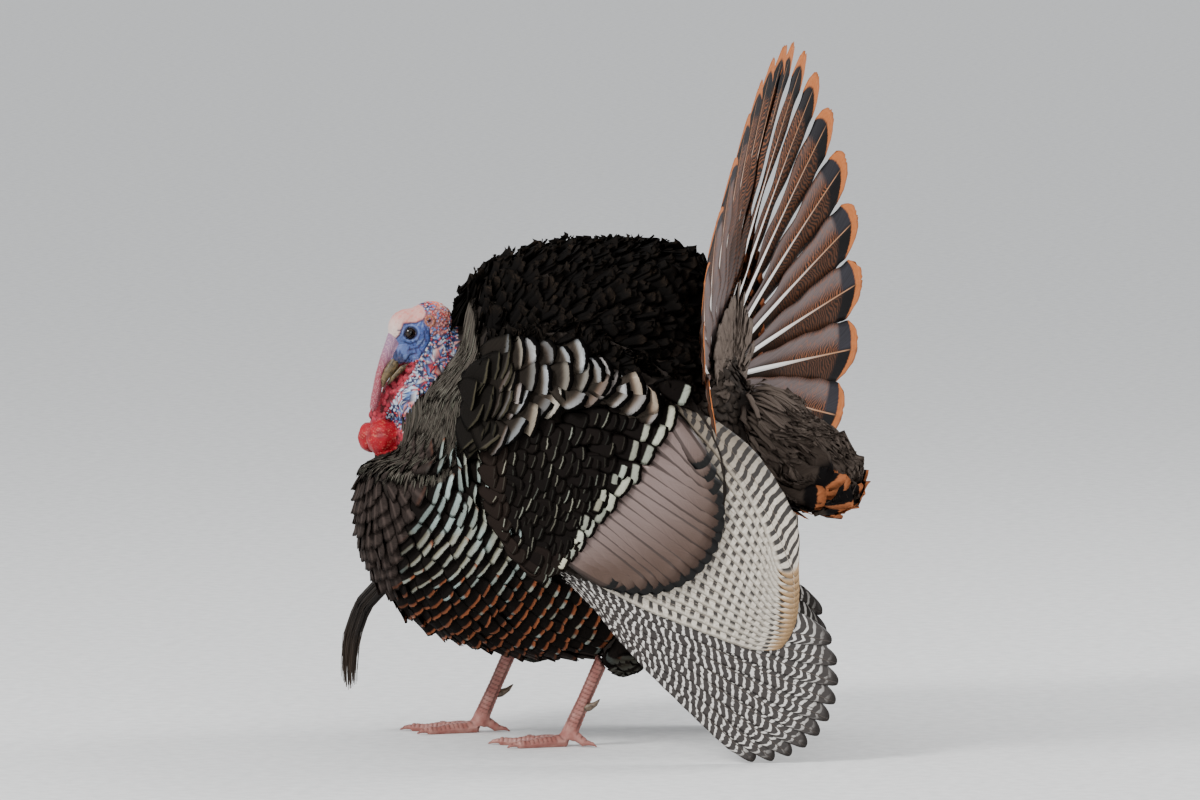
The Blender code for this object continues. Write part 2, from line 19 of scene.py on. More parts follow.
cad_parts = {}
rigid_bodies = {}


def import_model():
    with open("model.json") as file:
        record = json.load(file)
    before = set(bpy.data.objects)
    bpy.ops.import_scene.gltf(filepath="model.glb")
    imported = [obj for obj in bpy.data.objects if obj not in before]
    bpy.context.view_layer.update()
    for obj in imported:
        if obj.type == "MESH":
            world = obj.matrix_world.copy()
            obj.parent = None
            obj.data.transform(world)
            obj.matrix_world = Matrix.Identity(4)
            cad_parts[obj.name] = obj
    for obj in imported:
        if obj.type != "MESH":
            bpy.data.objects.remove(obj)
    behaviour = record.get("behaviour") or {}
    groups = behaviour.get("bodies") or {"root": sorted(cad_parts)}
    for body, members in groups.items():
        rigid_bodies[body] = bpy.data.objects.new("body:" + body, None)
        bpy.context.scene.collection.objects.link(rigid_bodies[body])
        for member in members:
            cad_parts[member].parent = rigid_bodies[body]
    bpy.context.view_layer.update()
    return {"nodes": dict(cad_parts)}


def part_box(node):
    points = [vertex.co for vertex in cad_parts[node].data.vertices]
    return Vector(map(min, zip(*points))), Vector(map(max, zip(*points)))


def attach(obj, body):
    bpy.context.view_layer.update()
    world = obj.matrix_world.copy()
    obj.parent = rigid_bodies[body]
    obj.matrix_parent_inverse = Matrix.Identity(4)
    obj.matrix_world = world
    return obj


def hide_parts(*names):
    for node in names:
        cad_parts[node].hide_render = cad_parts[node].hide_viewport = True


for leftover in list(bpy.data.objects):
    bpy.data.objects.remove(leftover)
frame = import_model()
rng = np.random.default_rng(11)
print("nodes:", len(frame["nodes"]))

# %% [markdown]
# The bird was drawn around its own origin and the frame moved it, so that its box is centred.
# The left eye tells how far: its centre is known in both.

# %% Find the bird's own axes
SKULL = Vector((-0.2016, -0.008, 0.469))
HEAD_TURN = Matrix.Rotation(math.radians(24), 4, "Z") @ Matrix.Rotation(math.radians(-42), 4, "Y")
HEAD = Matrix.Translation(SKULL) @ HEAD_TURN  # from head axes, looking along -X, to the bird's
EYE_PLACE = Vector((-0.0155, 0.0095, 0.0165))  # the right eye in head axes
EYE_RADIUS = 0.0078
SIDES = {"left": -1, "right": 1}

eye_low, eye_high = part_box("eye_left")
SHIFT = (eye_low + eye_high) / 2 - HEAD @ Vector((EYE_PLACE.x, -EYE_PLACE.y, EYE_PLACE.z))
print("shift:", tuple(round(c, 5) for c in SHIFT))


def unit(v):
    return v / np.maximum(np.linalg.norm(v, axis=-1, keepdims=True), 1e-9)


def ease(x, low, high):
    """0 below low, 1 above high, and a smooth rise between them."""
    t = np.clip((np.asarray(x, float) - low) / (high - low), 0, 1)
    return t * t * (3 - 2 * t)


def to_head(points):
    """Points of the bird in head axes."""
    return (points - np.array(SKULL)) @ np.array(HEAD_TURN.to_3x3())


# %% [markdown]
# ## Shaders as sums
#
# A feather's markings are easiest to write as arithmetic on two numbers: how far across the
# vane and how far along it a point is. `Socket` lets Python's own + - * / build Math nodes,
# and `Finish` adds any other node with one call.

# %% A small language for materials
class Socket:
    """A node's output, which can be used in sums."""

    def __init__(self, finish, socket):
        self.finish = finish
        self.socket = socket

    def math(self, operation, other=None):
        values = {0: self} if other is None else {0: self, 1: other}
        return self.finish.node("ShaderNodeMath", {"operation": operation}, values)

    def __add__(self, other):
        return self.math("ADD", other)

    def __mul__(self, other):
        return self.math("MULTIPLY", other)

    def __sub__(self, other):
        return self.math("SUBTRACT", other)

    def __rsub__(self, other):
        values = {0: other, 1: self}
        return self.finish.node("ShaderNodeMath", {"operation": "SUBTRACT"}, values)

    def __truediv__(self, other):
        return self.math("DIVIDE", other)

    __radd__ = __add__
    __rmul__ = __mul__

    def sin(self):
        return self.math("SINE")

    def abs(self):
        return self.math("ABSOLUTE")

    def highest(self, other):
        return self.math("MAXIMUM", other)

    def rise(self, low, high):
        """0 below low and 1 above high, smoothly. With low above high it falls instead."""
        values = {"Value": self, "From Min": low, "From Max": high}
        return self.finish.node(
            "ShaderNodeMapRange", {"interpolation_type": "SMOOTHSTEP"}, values
        )


class Finish:
    """A material that is being written."""

    def __init__(self, name, roughness=0.5, **constants):
        self.material = bpy.data.materials.new(name)
        self.material.use_nodes = True
        self.tree = self.material.node_tree
        self.shader = self.tree.nodes["Principled BSDF"]
        self.shader.inputs["Roughness"].default_value = roughness
        for socket, value in constants.items():
            self.shader.inputs[socket.replace("_", " ")].default_value = value

    def feed(self, socket, value):
        if isinstance(value, Socket):
            self.tree.links.new(value.socket, socket)
        else:
            socket.default_value = value

    def node(self, kind, settings=None, values=None, output=0):
        made = self.tree.nodes.new(kind)
        for name, value in (settings or {}).items():
            setattr(made, name, value)
        for name, value in (values or {}).items():
            self.feed(made.inputs[name], value)
        return Socket(self, made.outputs[output])

    def set(self, socket, value):
        self.feed(self.shader.inputs[socket], value)

    def mix(self, factor, first, second):
        """A colour between two, each an (r, g, b) or a socket."""
        first, second = (c if isinstance(c, Socket) else (*c, 1.0) for c in (first, second))
        values = {0: factor, 6: first, 7: second}
        return self.node("ShaderNodeMix", {"data_type": "RGBA"}, values, output=2)

    def colour(self, factor, first, second):
        """Makes the surface a colour between two."""
        self.set("Base Color", self.mix(factor, first, second))

    def split(self, vector):
        parts = self.node("ShaderNodeSeparateXYZ", None, {0: vector})
        outputs = parts.socket.node.outputs
        return [Socket(self, outputs[i]) for i in range(3)]

    def join(self, x, y, z):
        return self.node("ShaderNodeCombineXYZ", None, {0: x, 1: y, 2: z})

    def place(self):
        return self.node("ShaderNodeTexCoord", output="Object")

    def noise(self, at, scale, detail=2.0):
        return self.node("ShaderNodeTexNoise", None, {"Vector": at, "Scale": scale, "Detail": detail})

    def stored(self, name, output="Fac"):
        """What the mesh keeps for each of its points under a name."""
        return self.node("ShaderNodeAttribute", {"attribute_name": name}, output=output)

    def stored_colour(self, name):
        """A colour that the mesh keeps for each point, and its alpha."""
        colour = self.stored(name, "Color")
        return colour, Socket(self, colour.socket.node.outputs["Alpha"])

    def tone(self):
        """The four numbers that each feather carries."""
        colour, alpha = self.stored_colour("Tone")
        return [*self.split(colour), alpha]

    def vane(self):
        """How far across a feather a point is (-1 to 1), and how far along (0 to 1)."""
        across, along, _ = self.split(self.node("ShaderNodeUVMap", {"uv_map": "Feather"}))
        return across * 2.0 - 1.0, along

    def bump(self, height, distance, strength=1.0):
        values = {"Height": height, "Distance": distance, "Strength": strength}
        self.set("Normal", self.node("ShaderNodeBump", None, values))


# %% [markdown]
# ## Meshes from the frame
#
# Flesh is one smooth surface on a real bird. The frame's pieces have a hair's gap between them,
# so each is swollen a little, and a voxel remesh melts the swollen copies into one skin.
# The same call gives the smooth ground that the feathers of one part are laid on.

# %% Melt frame pieces into one mesh
def new_object(name, data):
    obj = bpy.data.objects.new(name, data)
    bpy.context.scene.collection.objects.link(obj)
    return obj


def applied(obj):
    """A bmesh of the object with its modifiers applied. The object itself is removed."""
    graph = bpy.context.evaluated_depsgraph_get()
    mesh = bpy.data.meshes.new_from_object(obj.evaluated_get(graph))
    bpy.data.objects.remove(obj)
    bm = bmesh.new()
    bm.from_mesh(mesh)
    return bm


def melted(nodes, voxel, rounds, swell=0.0006):
    """One smooth closed bmesh around copies of the nodes, in the bird's own axes."""
    gathered = bmesh.new()
    for node in nodes:
        part = bmesh.new()
        part.from_mesh(frame["nodes"][node].data)
        bmesh.ops.remove_doubles(part, verts=part.verts, dist=1e-5)
        bmesh.ops.translate(part, verts=part.verts, vec=-SHIFT)
        part.normal_update()
        for vertex in part.verts:
            vertex.co += vertex.normal * swell
        mesh = bpy.data.meshes.new("part")
        part.to_mesh(mesh)
        gathered.from_mesh(mesh)
        part.free()
        bpy.data.meshes.remove(mesh)
    mesh = bpy.data.meshes.new("gathered")
    gathered.to_mesh(mesh)
    gathered.free()
    obj = new_object("gathered", mesh)
    remesh = obj.modifiers.new("melt", "REMESH")
    remesh.mode = "VOXEL"
    remesh.voxel_size = voxel
    bm = applied(obj)
    for _ in range(rounds):
        bmesh.ops.smooth_vert(bm, verts=bm.verts, factor=0.5)
    bm.normal_update()
    return bm


def coords(mesh, kind="co"):
    values = np.empty(len(mesh.vertices) * 3)
    mesh.vertices.foreach_get(kind, values)
    return values.reshape(-1, 3)


def normals(mesh):
    return coords(mesh, "normal")


def mesh_from(bm, name="shape"):
    mesh = bpy.data.meshes.new(name)
    bm.to_mesh(mesh)
    bm.free()
    return mesh


def show(mesh, name, finish, stands_for=()):
    """Makes the finished piece: moved into the frame, smooth, with its finish."""
    mesh.transform(Matrix.Translation(SHIFT))
    mesh.shade_smooth()
    mesh.materials.clear()
    mesh.materials.append(finish.material)
    mesh.name = name
    obj = new_object(name, mesh)
    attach(obj, "root")
    if stands_for:
        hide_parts(*stands_for)
    print(name, "triangles:", sum(len(p.vertices) - 2 for p in mesh.polygons))
    return obj


# %% [markdown]
# ## The ground that feathers lie on
#
# Feathers follow the body's curve. `Ground` finds the nearest point and the outward direction
# on a smooth surface, and steps a feather's shaft over it.

# %% A surface to lay feathers on
class Ground:
    """A smooth surface that feathers follow."""

    def __init__(self, mesh):
        corners = [tuple(p.vertices) for p in mesh.polygons]
        points = coords(mesh)
        self.tree = BVHTree.FromPolygons(points.tolist(), corners)
        around = normals(mesh)
        self.facing = np.array([unit(around[list(c)].mean(0)) for c in corners])

    def snap(self, points):
        """The nearest points of the surface, and the directions away from it there."""
        found = [self.tree.find_nearest(p) for p in points.tolist()]
        near = np.array([f[0] for f in found])
        return near, self.facing[[f[2] for f in found]]

    def ray(self, start, direction):
        hit = self.tree.ray_cast(Vector(start), Vector(direction))
        return None if hit[0] is None else np.array(hit[0])


def ground_of(nodes, voxel, rounds, sink):
    """The melted surface of some nodes, sunk inwards by the coat's depth."""
    mesh = mesh_from(melted(nodes, voxel, rounds))
    mesh.vertices.foreach_set("co", (coords(mesh) - normals(mesh) * sink).ravel())
    mesh.update()
    return mesh


def along_surface(v, facing):
    return unit(v - (v * facing).sum(-1, keepdims=True) * facing)


# %% [markdown]
# ## A feather blank
#
# Every feather starts as the same blank: a grid whose twin, turned over, shares its rim.
# So it is a closed, thin lens that can be bent and cut to any outline without a wall of faces.

# %% Make the blanks
def as_arrays(bm):
    """(points, faces) of a bmesh, which is then freed."""
    bm.verts.index_update()
    points = np.array([v.co for v in bm.verts])
    faces = np.array([[v.index for v in f.verts] for f in bm.faces])
    bm.free()
    return points, faces


def blank(across, along):
    """(points, faces) of a closed sheet: x from -1 to 1, y from 0 to 1, z tells the side."""
    bm = bmesh.new()
    bmesh.ops.create_grid(bm, x_segments=across, y_segments=along, size=1.0)
    twin = bmesh.ops.duplicate(bm, geom=bm.verts[:] + bm.edges[:] + bm.faces[:])["geom"]
    turned = [g for g in twin if isinstance(g, bmesh.types.BMVert)]
    under = set(turned)
    for vertex in bm.verts:
        if not vertex.is_boundary:
            vertex.co.z = -1.0 if vertex in under else 1.0
    bmesh.ops.reverse_faces(bm, faces=[g for g in twin if isinstance(g, bmesh.types.BMFace)])
    bmesh.ops.remove_doubles(bm, verts=bm.verts, dist=1e-4)
    bmesh.ops.translate(bm, verts=bm.verts, vec=(0, 1, 0))
    bmesh.ops.scale(bm, verts=bm.verts, vec=(1, 0.5, 1))
    return as_arrays(bm)


HAIR_BLANK = blank(2, 4)
SMALL_BLANK = blank(4, 5)
BROAD_BLANK = blank(6, 5)
GREAT_BLANK = blank(14, 36)
print("faces in the blanks:", [len(b[1]) for b in (HAIR_BLANK, SMALL_BLANK, BROAD_BLANK, GREAT_BLANK)])

# %% [markdown]
# The bake map gives each feather a patch of its own, at its root's place on an unwrap of the
# bird: its angle round an upright line through the body, and its height. Nothing in it depends
# on where the bird is seen from.

# %% Join many feathers into one mesh
UNWRAP_X, UNWRAP_HEIGHT, UNWRAP_MARGIN = -0.04, 0.82, 0.01
GREAT_PATCH = 0.012  # of the map, for a feather with bold markings
TUFT_PATCH = 0.003


def unwrap(points):
    angle = np.arctan2(points[:, 1], points[:, 0] - UNWRAP_X) / math.tau + 0.5
    height = np.clip(points[:, 2] / UNWRAP_HEIGHT, 0, 1)
    return UNWRAP_MARGIN + (1 - 2 * UNWRAP_MARGIN) * np.stack([angle, height], 1)


def feather_tones(count, red, green, alpha):
    """Tones whose red, green and alpha are given, with a random blue for each feather."""
    parts = [np.broadcast_to(np.asarray(p, float), count) for p in (red, green, alpha)]
    return np.stack([parts[0], parts[1], rng.random(count), parts[2]], 1)


def joined(shape, places, tones, patch=TUFT_PATCH, roots=None):
    """One mesh of many feathers. places holds each one's points, tones its four numbers."""
    points, faces = shape
    count, size = places.shape[:2]
    mesh = bpy.data.meshes.new("feathers")
    corners = (faces[None] + size * np.arange(count)[:, None, None]).reshape(-1, faces.shape[1])
    mesh.from_pydata(places.reshape(-1, 3).tolist(), [], corners.tolist())
    root = unwrap(places[:, points[:, 1] < 0.01].mean(1) if roots is None else roots)
    flat = points[:, :2] * (0.5, 1.0) + (0.5, 0.0)
    spots = root[:, None] + (flat[None] - 0.5) * patch
    for name, values in (("Feather", np.tile(flat, (count, 1))), ("OFBake", spots.reshape(-1, 2))):
        layer = mesh.uv_layers.new(name=name, do_init=False)
        layer.uv.foreach_set("vector", values[corners.ravel()].astype(np.float32).ravel())
    mesh.uv_layers["Feather"].active_render = True
    tone = mesh.attributes.new("Tone", "FLOAT_COLOR", "POINT")
    spread = np.repeat(tones[:, None], size, 1) if tones.ndim == 2 else tones
    tone.data.foreach_set("color", spread.astype(np.float32).ravel())
    return mesh


# %% [markdown]
# A feather's shaft walks over the ground from its root, and each point of its vane is dropped
# on the ground beside the shaft. Then the feather is lifted, a little at its root and more at
# its tip, so each row's tips lie on the row behind as tiles do.

# %% Lay feathers on a ground
BLUNT = ((0, 0.2, 0.5, 0.85, 1), (0.25, 0.7, 0.97, 1.0, 0.86))  # share of the length, of the width
POINTED = ((0, 0.2, 0.45, 0.75, 1), (0.3, 0.9, 1.0, 0.7, 0.12))


def lay(ground, shape, roots, flows, length, width, lift, outline=BLUNT, rounding=0.10, curl=0.0,
        camber=0.06, roll=0.04, thick=0.0004, hug=True, fray=0.0):
    """Places for every feather's points. lift is the height of the roots and of the tips."""
    points = shape[0]
    count = len(roots)
    stops = np.unique(np.round(points[:, 1], 5))
    at, facing = ground.snap(roots)
    flow = along_surface(flows, facing)
    spine, spine_facing, spine_flow = [at], [facing], [flow]
    for before, stop in zip(stops, stops[1:]):
        at, facing = ground.snap(at + flow * (length * (stop - before))[:, None])
        flow = along_surface(flow, facing)
        spine.append(at)
        spine_facing.append(facing)
        spine_flow.append(flow)
    row = np.searchsorted(stops, np.round(points[:, 1], 5))
    at = np.array(spine)[row].transpose(1, 0, 2)
    facing = np.array(spine_facing)[row].transpose(1, 0, 2)
    flow = np.array(spine_flow)[row].transpose(1, 0, 2)
    across, along, side = points.T
    half = np.interp(along, *outline)[None] * width[:, None] / 2
    beside = np.cross(facing, flow) * (across * half)[..., None]
    back = rounding * np.abs(across) ** 2.2 * ease(along, 0.55, 1.0)
    back = back[None] + fray * rng.random((count, len(along))) * (along > 0.99)
    spot = at + beside - flow * (back * length[:, None])[..., None]
    if hug:
        near, facing = ground.snap(spot.reshape(-1, 3))
        spot, facing = near.reshape(count, -1, 3), facing.reshape(count, -1, 3)
    tilt = rng.normal(0, roll, (count, 1)) * across * width[:, None]
    high = lift[0] + (lift[1] - lift[0]) * along + curl * along**3
    high = high[None] * rng.uniform(0.85, 1.15, (count, 1)) + tilt
    high = high + camber * width[:, None] * (1 - across**2) + side * thick
    return spot + facing * high[..., None]


# %% [markdown]
# ## The skin
#
# The skin is what a plucked bird would show. It lies inside the solids by the coat's depth: 10 mm
# on the trunk, nothing on the head and the bare neck.

# %% Melt the skin and sink it under the coat
BARE = ("head", "snood", "wattle_left", "wattle_right", "wattle_upper")
COAT_DEPTH = {"trunk": 0.010, "neck": 0.005, "undertail_coverts": 0.014}
COAT_DEPTH.update({f"thigh_{side}": 0.008 for side in SIDES})
COAT_DEPTH.update({f"wing_{side}_arm": 0.010 for side in SIDES})
BARE_DEPTH = -0.0004  # the bare parts get back what smoothing takes off
COAT_DEPTH.update({node: BARE_DEPTH for node in BARE})
SKIN_VOXEL = 0.0025
EVENING_ROUNDS = 14
# where bare skin ends and feathers begin: heights, and how far back the edge is there
BARE_EDGE = ((0.345, 0.363, 0.371, 0.389, 0.401, 0.409, 0.424, 0.442, 0.485, 0.56),
             (-0.236, -0.233, -0.227, -0.218, -0.212, -0.198, -0.183, -0.164, -0.150, -0.138))


def nearest_part(points, nodes):
    """For each point, the place in nodes of the frame piece that is nearest."""
    corners, owners, vertices = [], [], []
    for place, node in enumerate(nodes):
        mesh = frame["nodes"][node].data
        start = len(vertices)
        vertices += (coords(mesh) - np.array(SHIFT)).tolist()
        corners += [[start + v for v in p.vertices] for p in mesh.polygons]
        owners += [place] * len(mesh.polygons)
    tree = BVHTree.FromPolygons(vertices, corners)
    owners = np.array(owners)
    return owners[[tree.find_nearest(p)[2] for p in points.tolist()]]


def make_skin():
    nodes = list(COAT_DEPTH)
    mesh = mesh_from(melted(nodes, SKIN_VOXEL, 5))
    points = coords(mesh)
    part = nearest_part(points, nodes)
    bare = np.isin(part, [nodes.index(node) for node in BARE])
    depth = np.array(list(COAT_DEPTH.values()))[part]
    ends = np.empty(len(mesh.edges) * 2, int)
    mesh.edges.foreach_get("vertices", ends)
    first, second = ends.reshape(-1, 2).T
    degree = np.bincount(ends, minlength=len(points))
    for _ in range(EVENING_ROUNDS):  # so that no step shows where two parts meet
        total = np.bincount(first, depth[second], len(points))
        total += np.bincount(second, depth[first], len(points))
        depth = np.where(bare, BARE_DEPTH, total / degree)
    mesh.vertices.foreach_set("co", (points - normals(mesh) * depth[:, None]).ravel())
    return mesh, bare


skin_mesh, is_bare = make_skin()
print("skin before thinning:", len(skin_mesh.polygons), "faces,", int(is_bare.sum()), "bare points")

# %% [markdown]
# Under the feathers one face in ten is enough. The head's faces are split in four, and those of
# its bare skin once more, so that there are points enough for beads and creases.

# %% Thin it under the feathers and split it finer on the head
COVERED_SHARE = 0.10


def thin_and_refine(mesh, bare):
    obj = new_object("skin_draft", mesh)
    group = obj.vertex_groups.new(name="covered")
    group.add(np.flatnonzero(~bare).tolist(), 1.0, "REPLACE")
    decimate = obj.modifiers.new("thin", "DECIMATE")
    decimate.ratio = COVERED_SHARE
    decimate.vertex_group = group.name
    bm = applied(obj)
    for finer in range(2):
        middles = np.array([f.calc_center_median() for f in bm.faces])
        at = to_head(middles)
        size = np.array([f.calc_area() for f in bm.faces])
        picked = (at[:, 0] < 0.050) & (at[:, 2] > -0.075) & (size < 2 * SKIN_VOXEL**2)
        picked &= np.abs(at[:, 1]) < 0.05
        if finer:
            picked &= (middles[:, 2] > 0.372) & (at[:, 0] > -0.105) & (size < 0.6 * SKIN_VOXEL**2)
            picked &= middles[:, 0] < np.interp(middles[:, 2], *BARE_EDGE) + 0.006
        edges = {e for f, chosen in zip(bm.faces, picked) if chosen for e in f.edges}
        bmesh.ops.subdivide_edges(bm, edges=list(edges), cuts=1, use_grid_fill=True)
        print("skin faces after split", finer, len(bm.faces))
    return mesh_from(bm, "skin")


skin_mesh = thin_and_refine(skin_mesh, is_bare)

# %% [markdown]
# ## The breast, flanks and belly
#
# The feathers of the breast stream back and down from the foot of the neck in rows, and each row
# shows as a bright arc. A row is traced on the body as a line at one distance, seen from the
# side, from the place the feathers stream from, and feathers are set along it at equal steps.
# Every second row starts half a step on, so the feathers lie like tiles.

# %% Trace rows on the body
STREAM_X, STREAM_Z = -0.280, 0.345  # the feathers of both flanks stream from here
TRUNK_SINK = 0.009
TRACE_STEP = 0.0025
trunk = Ground(ground_of(["trunk", "wing_left_arm", "wing_right_arm"], 0.006, 10, TRUNK_SINK))


def stream(point):
    """How far a point is from where the feathers stream from, and the direction away."""
    away = np.array((point[0] - STREAM_X, 0.0, point[2] - STREAM_Z))
    reach = max(float(np.linalg.norm(away)), 1e-6)
    return reach, away / reach


def follow(ground, start, radius, side, way):
    """Points on the surface from start, round the body at one distance from the stream."""
    line, at = [], start
    for count in range(600):
        near, facing = ground.snap(at[None])
        at, facing = near[0], facing[0]
        reach, away = stream(at)
        uphill = away - (away @ facing) * facing
        steep = float(uphill @ uphill)
        at = at + uphill * (radius - reach) / max(steep, 0.1)
        line.append(at)
        closed = count > 12 and np.linalg.norm(at - start) < 1.5 * TRACE_STEP
        if at[1] * side < -0.001 or steep < 0.02 or closed:
            return line, closed
        at = at + way * TRACE_STEP * unit(np.cross(facing, away))
    return line, False


LOW_STARTS = (-25, 20, 0, 35, 45, -50)  # where a row may be picked up, seen from the side
HIGH_STARTS = (60, 50, 42, 36, 30, 24, 18, 12, 6, 0)


def row_places(ground, radius, side, pitch, half_step, starts):
    """Where the feathers of one row are rooted."""
    for angle in np.radians(starts):
        x, z = STREAM_X + radius * math.cos(angle), STREAM_Z + radius * math.sin(angle)
        start = ground.ray((x, side * 0.5, z), (0, -side, 0))
        if start is not None:
            break
    else:
        return []
    ahead, closed = follow(ground, start, radius, side, 1)
    behind = [] if closed else follow(ground, start, radius, side, -1)[0]
    line = behind[:0:-1] + ahead
    every = pitch / TRACE_STEP
    offset = (len(behind) - 1 if behind else 0) % every + (every / 2 if half_step else 0)
    picks = np.arange(offset % every, len(line), every).astype(int)
    return [line[i] for i in picks]


def rows_on(ground, radii, pitches, wanted, starts):
    """Roots for both flanks, each with its spacing along the row and its row's number."""
    found = []
    for side in SIDES.values():
        for k, (radius, pitch) in enumerate(zip(radii, pitches)):
            places = row_places(ground, radius, side, pitch, k % 2, starts)
            found += [(*p, pitch, k) for p in places if wanted(p)]
    return np.array(found)


def streaming(roots):
    away = roots - np.array((STREAM_X, 0, STREAM_Z))
    return unit(away * (1, 0, 1))


# %% [markdown]
# The folded arm is left out, as an ellipse on the plan. The bars turn from green and silver above
# to copper below.

# %% Set the breast and belly feathers
ARM_CENTRE, ARM_TILT = (0.025, 0.343), math.radians(-32)
ARM_RADII = (0.174, 0.134)


def arm_share(x, z):
    """0 at the middle of the folded arm and 1 at its rim."""
    along = (x - ARM_CENTRE[0]) * math.cos(ARM_TILT) + (z - ARM_CENTRE[1]) * math.sin(ARM_TILT)
    over = -(x - ARM_CENTRE[0]) * math.sin(ARM_TILT) + (z - ARM_CENTRE[1]) * math.cos(ARM_TILT)
    return np.sqrt((along / ARM_RADII[0]) ** 2 + (over / ARM_RADII[1]) ** 2)


def is_breast(p):
    hackled = p[0] < -0.135 and p[2] > 0.338 or p[0] < -0.235 and p[2] > 0.330
    rim = 0.84 + 0.24 * float(ease(p[0], -0.09, -0.05))
    return p[2] < 0.42 and not hackled and arm_share(p[0], p[2]) > rim


FIRST_ROW, LAST_ROW = 0.012, 0.52  # how far from where the feathers stream from
breast_radii, breast_pitches = [FIRST_ROW], [0.011]
while breast_radii[-1] < LAST_ROW:
    far = breast_radii[-1]
    step = 0.0085 + 0.0045 * float(ease(far, 0.02, 0.09)) + 0.0080 * float(ease(far, 0.28, 0.42))
    breast_radii.append(far + step)
    broader = float(ease(far, 0.05, 0.09) * ease(far, 0.24, 0.17))
    breast_pitches.append(step * 1.25 + 0.0035 * broader)
breast = rows_on(trunk, breast_radii, breast_pitches, is_breast, LOW_STARTS)
great = ease(breast[:, 2], 0.215, 0.260) * ease(breast[:, 0], -0.215, -0.190)
breast_roots = breast[:, :3]
pitch = breast[:, 3]
step = np.append(np.diff(breast_radii), 0.02)[breast[:, 4].astype(int)]
x, height = breast_roots[:, 0], breast_roots[:, 2]
warm = ease(height, 0.240, 0.175) * (1 - 0.35 * ease(x, -0.12, -0.02))
# the front of the breast is plain brown, and the bars begin behind this line
BARS_BEGIN = ((0.15, 0.22, 0.32), (-0.240, -0.222, -0.188))
barred = ease(x - np.interp(height, *BARS_BEGIN), -0.008, 0.020)
bright = ease(height, 0.100, 0.140) * ease(x, 0.12, 0.02) * barred * rng.uniform(0.55, 1.0, len(x))
warm = np.where(barred < 0.3, 1.0, warm)
breast_start = 0.78 - 0.11 * great + 0.04 * rng.random(len(x))
breast_tones = feather_tones(len(x), warm, bright, breast_start)
breast_flow = streaming(breast_roots) + rng.normal(0, 0.06, breast_roots.shape)
breast_places = lay(
    trunk, BROAD_BLANK, breast_roots, breast_flow,
    step * rng.uniform(2.15, 2.5, len(x)) * (1 + 0.12 * great),
    pitch * rng.uniform(1.2, 1.5, len(x)) * (1 + 0.25 * great), (0.001, 0.0070),
    rounding=0.055, curl=0.002, roll=0.09, fray=0.05
)
print("breast feathers:", len(breast_roots))

# %% [markdown]
# ## The mantle
#
# The back is velvety black: the same rows, half as far apart, of small dark feathers whose tips
# stand out enough to give the bumpy outline of a strutting bird.

# %% Set the mantle
MANTLE_REACHES, MANTLE_STEP, MANTLE_PITCH = (0.085, 0.56), 0.0098, 0.0130


def is_mantle(p):
    hackled = p[0] < -0.125 and p[2] < 0.50
    return p[2] > 0.395 and not hackled and arm_share(p[0], p[2]) > 0.62


mantle_radii = np.arange(*MANTLE_REACHES, MANTLE_STEP)
mantle_pitches = [MANTLE_PITCH] * len(mantle_radii)
mantle_roots = rows_on(trunk, mantle_radii, mantle_pitches, is_mantle, HIGH_STARTS)[:, :3]
count = len(mantle_roots)
sheen = 0.25 + 0.75 * rng.random(count) ** 2
downy = ease(mantle_roots[:, 0], 0.120, 0.145) * ease(mantle_roots[:, 2], 0.50, 0.46)
mantle_tones = feather_tones(count, downy, sheen, 0.8)
mantle_flow = streaming(mantle_roots) + rng.normal(0, 0.20, mantle_roots.shape)
mantle_places = lay(
    trunk, SMALL_BLANK, mantle_roots + rng.normal(0, 0.0030, mantle_roots.shape), mantle_flow,
    rng.uniform(0.022, 0.036, count), rng.uniform(0.010, 0.018, count),
    (0.001, 0.009), rounding=0.10, curl=0.003, roll=0.22, fray=0.22
)

# %% [markdown]
# A few longer feathers of the nape reach forward, down to the back of the head.

# %% Set the feathers of the nape
NAPE_FEATHERS = 80


def surface_points(ground, low, high, count):
    """Random points of a box, dropped on the surface."""
    return ground.snap(rng.uniform(low, high, (count, 3)))[0]


nape_roots = surface_points(
    trunk, (-0.162, -0.010, 0.504), (-0.130, 0.014, 0.540), NAPE_FEATHERS
)
nape_flow = np.array((-0.5, 0, -1.0)) + rng.normal(0, 0.06, nape_roots.shape)
nape_places = lay(
    trunk, SMALL_BLANK, nape_roots, nape_flow, rng.uniform(0.030, 0.050, NAPE_FEATHERS),
    rng.uniform(0.008, 0.014, NAPE_FEATHERS), (0.001, 0.016), hug=False, fray=0.22
)
mantle_places = np.concatenate([mantle_places, nape_places])
mantle_tones = np.concatenate([mantle_tones, np.tile((0, 0.2, 0.5, 0.8), (NAPE_FEATHERS, 1))])
print("mantle feathers:", len(mantle_tones))

# %% [markdown]
# ## Hackles
#
# Round the foot of the neck the feathers are narrow and hair-like, grey-brown with pale edges,
# and hang straight down. They are rooted at points scattered evenly over the surface.

# %% Set the hackles
HACKLE_SPACING, DROPS = 0.0043, 14000
hackle_ground = Ground(ground_of(["neck", "trunk"], 0.006, 8, 0.006))


def scattered(points, wanted, apart):
    """The wanted points, thinned at random to one in each cube of space, apart wide."""
    cells, kept = set(), []
    for p in rng.permutation(points[wanted]):
        cell = tuple((p // apart).astype(int))
        if cell not in cells:
            cells.add(cell)
            kept.append(p)
    return np.array(kept)


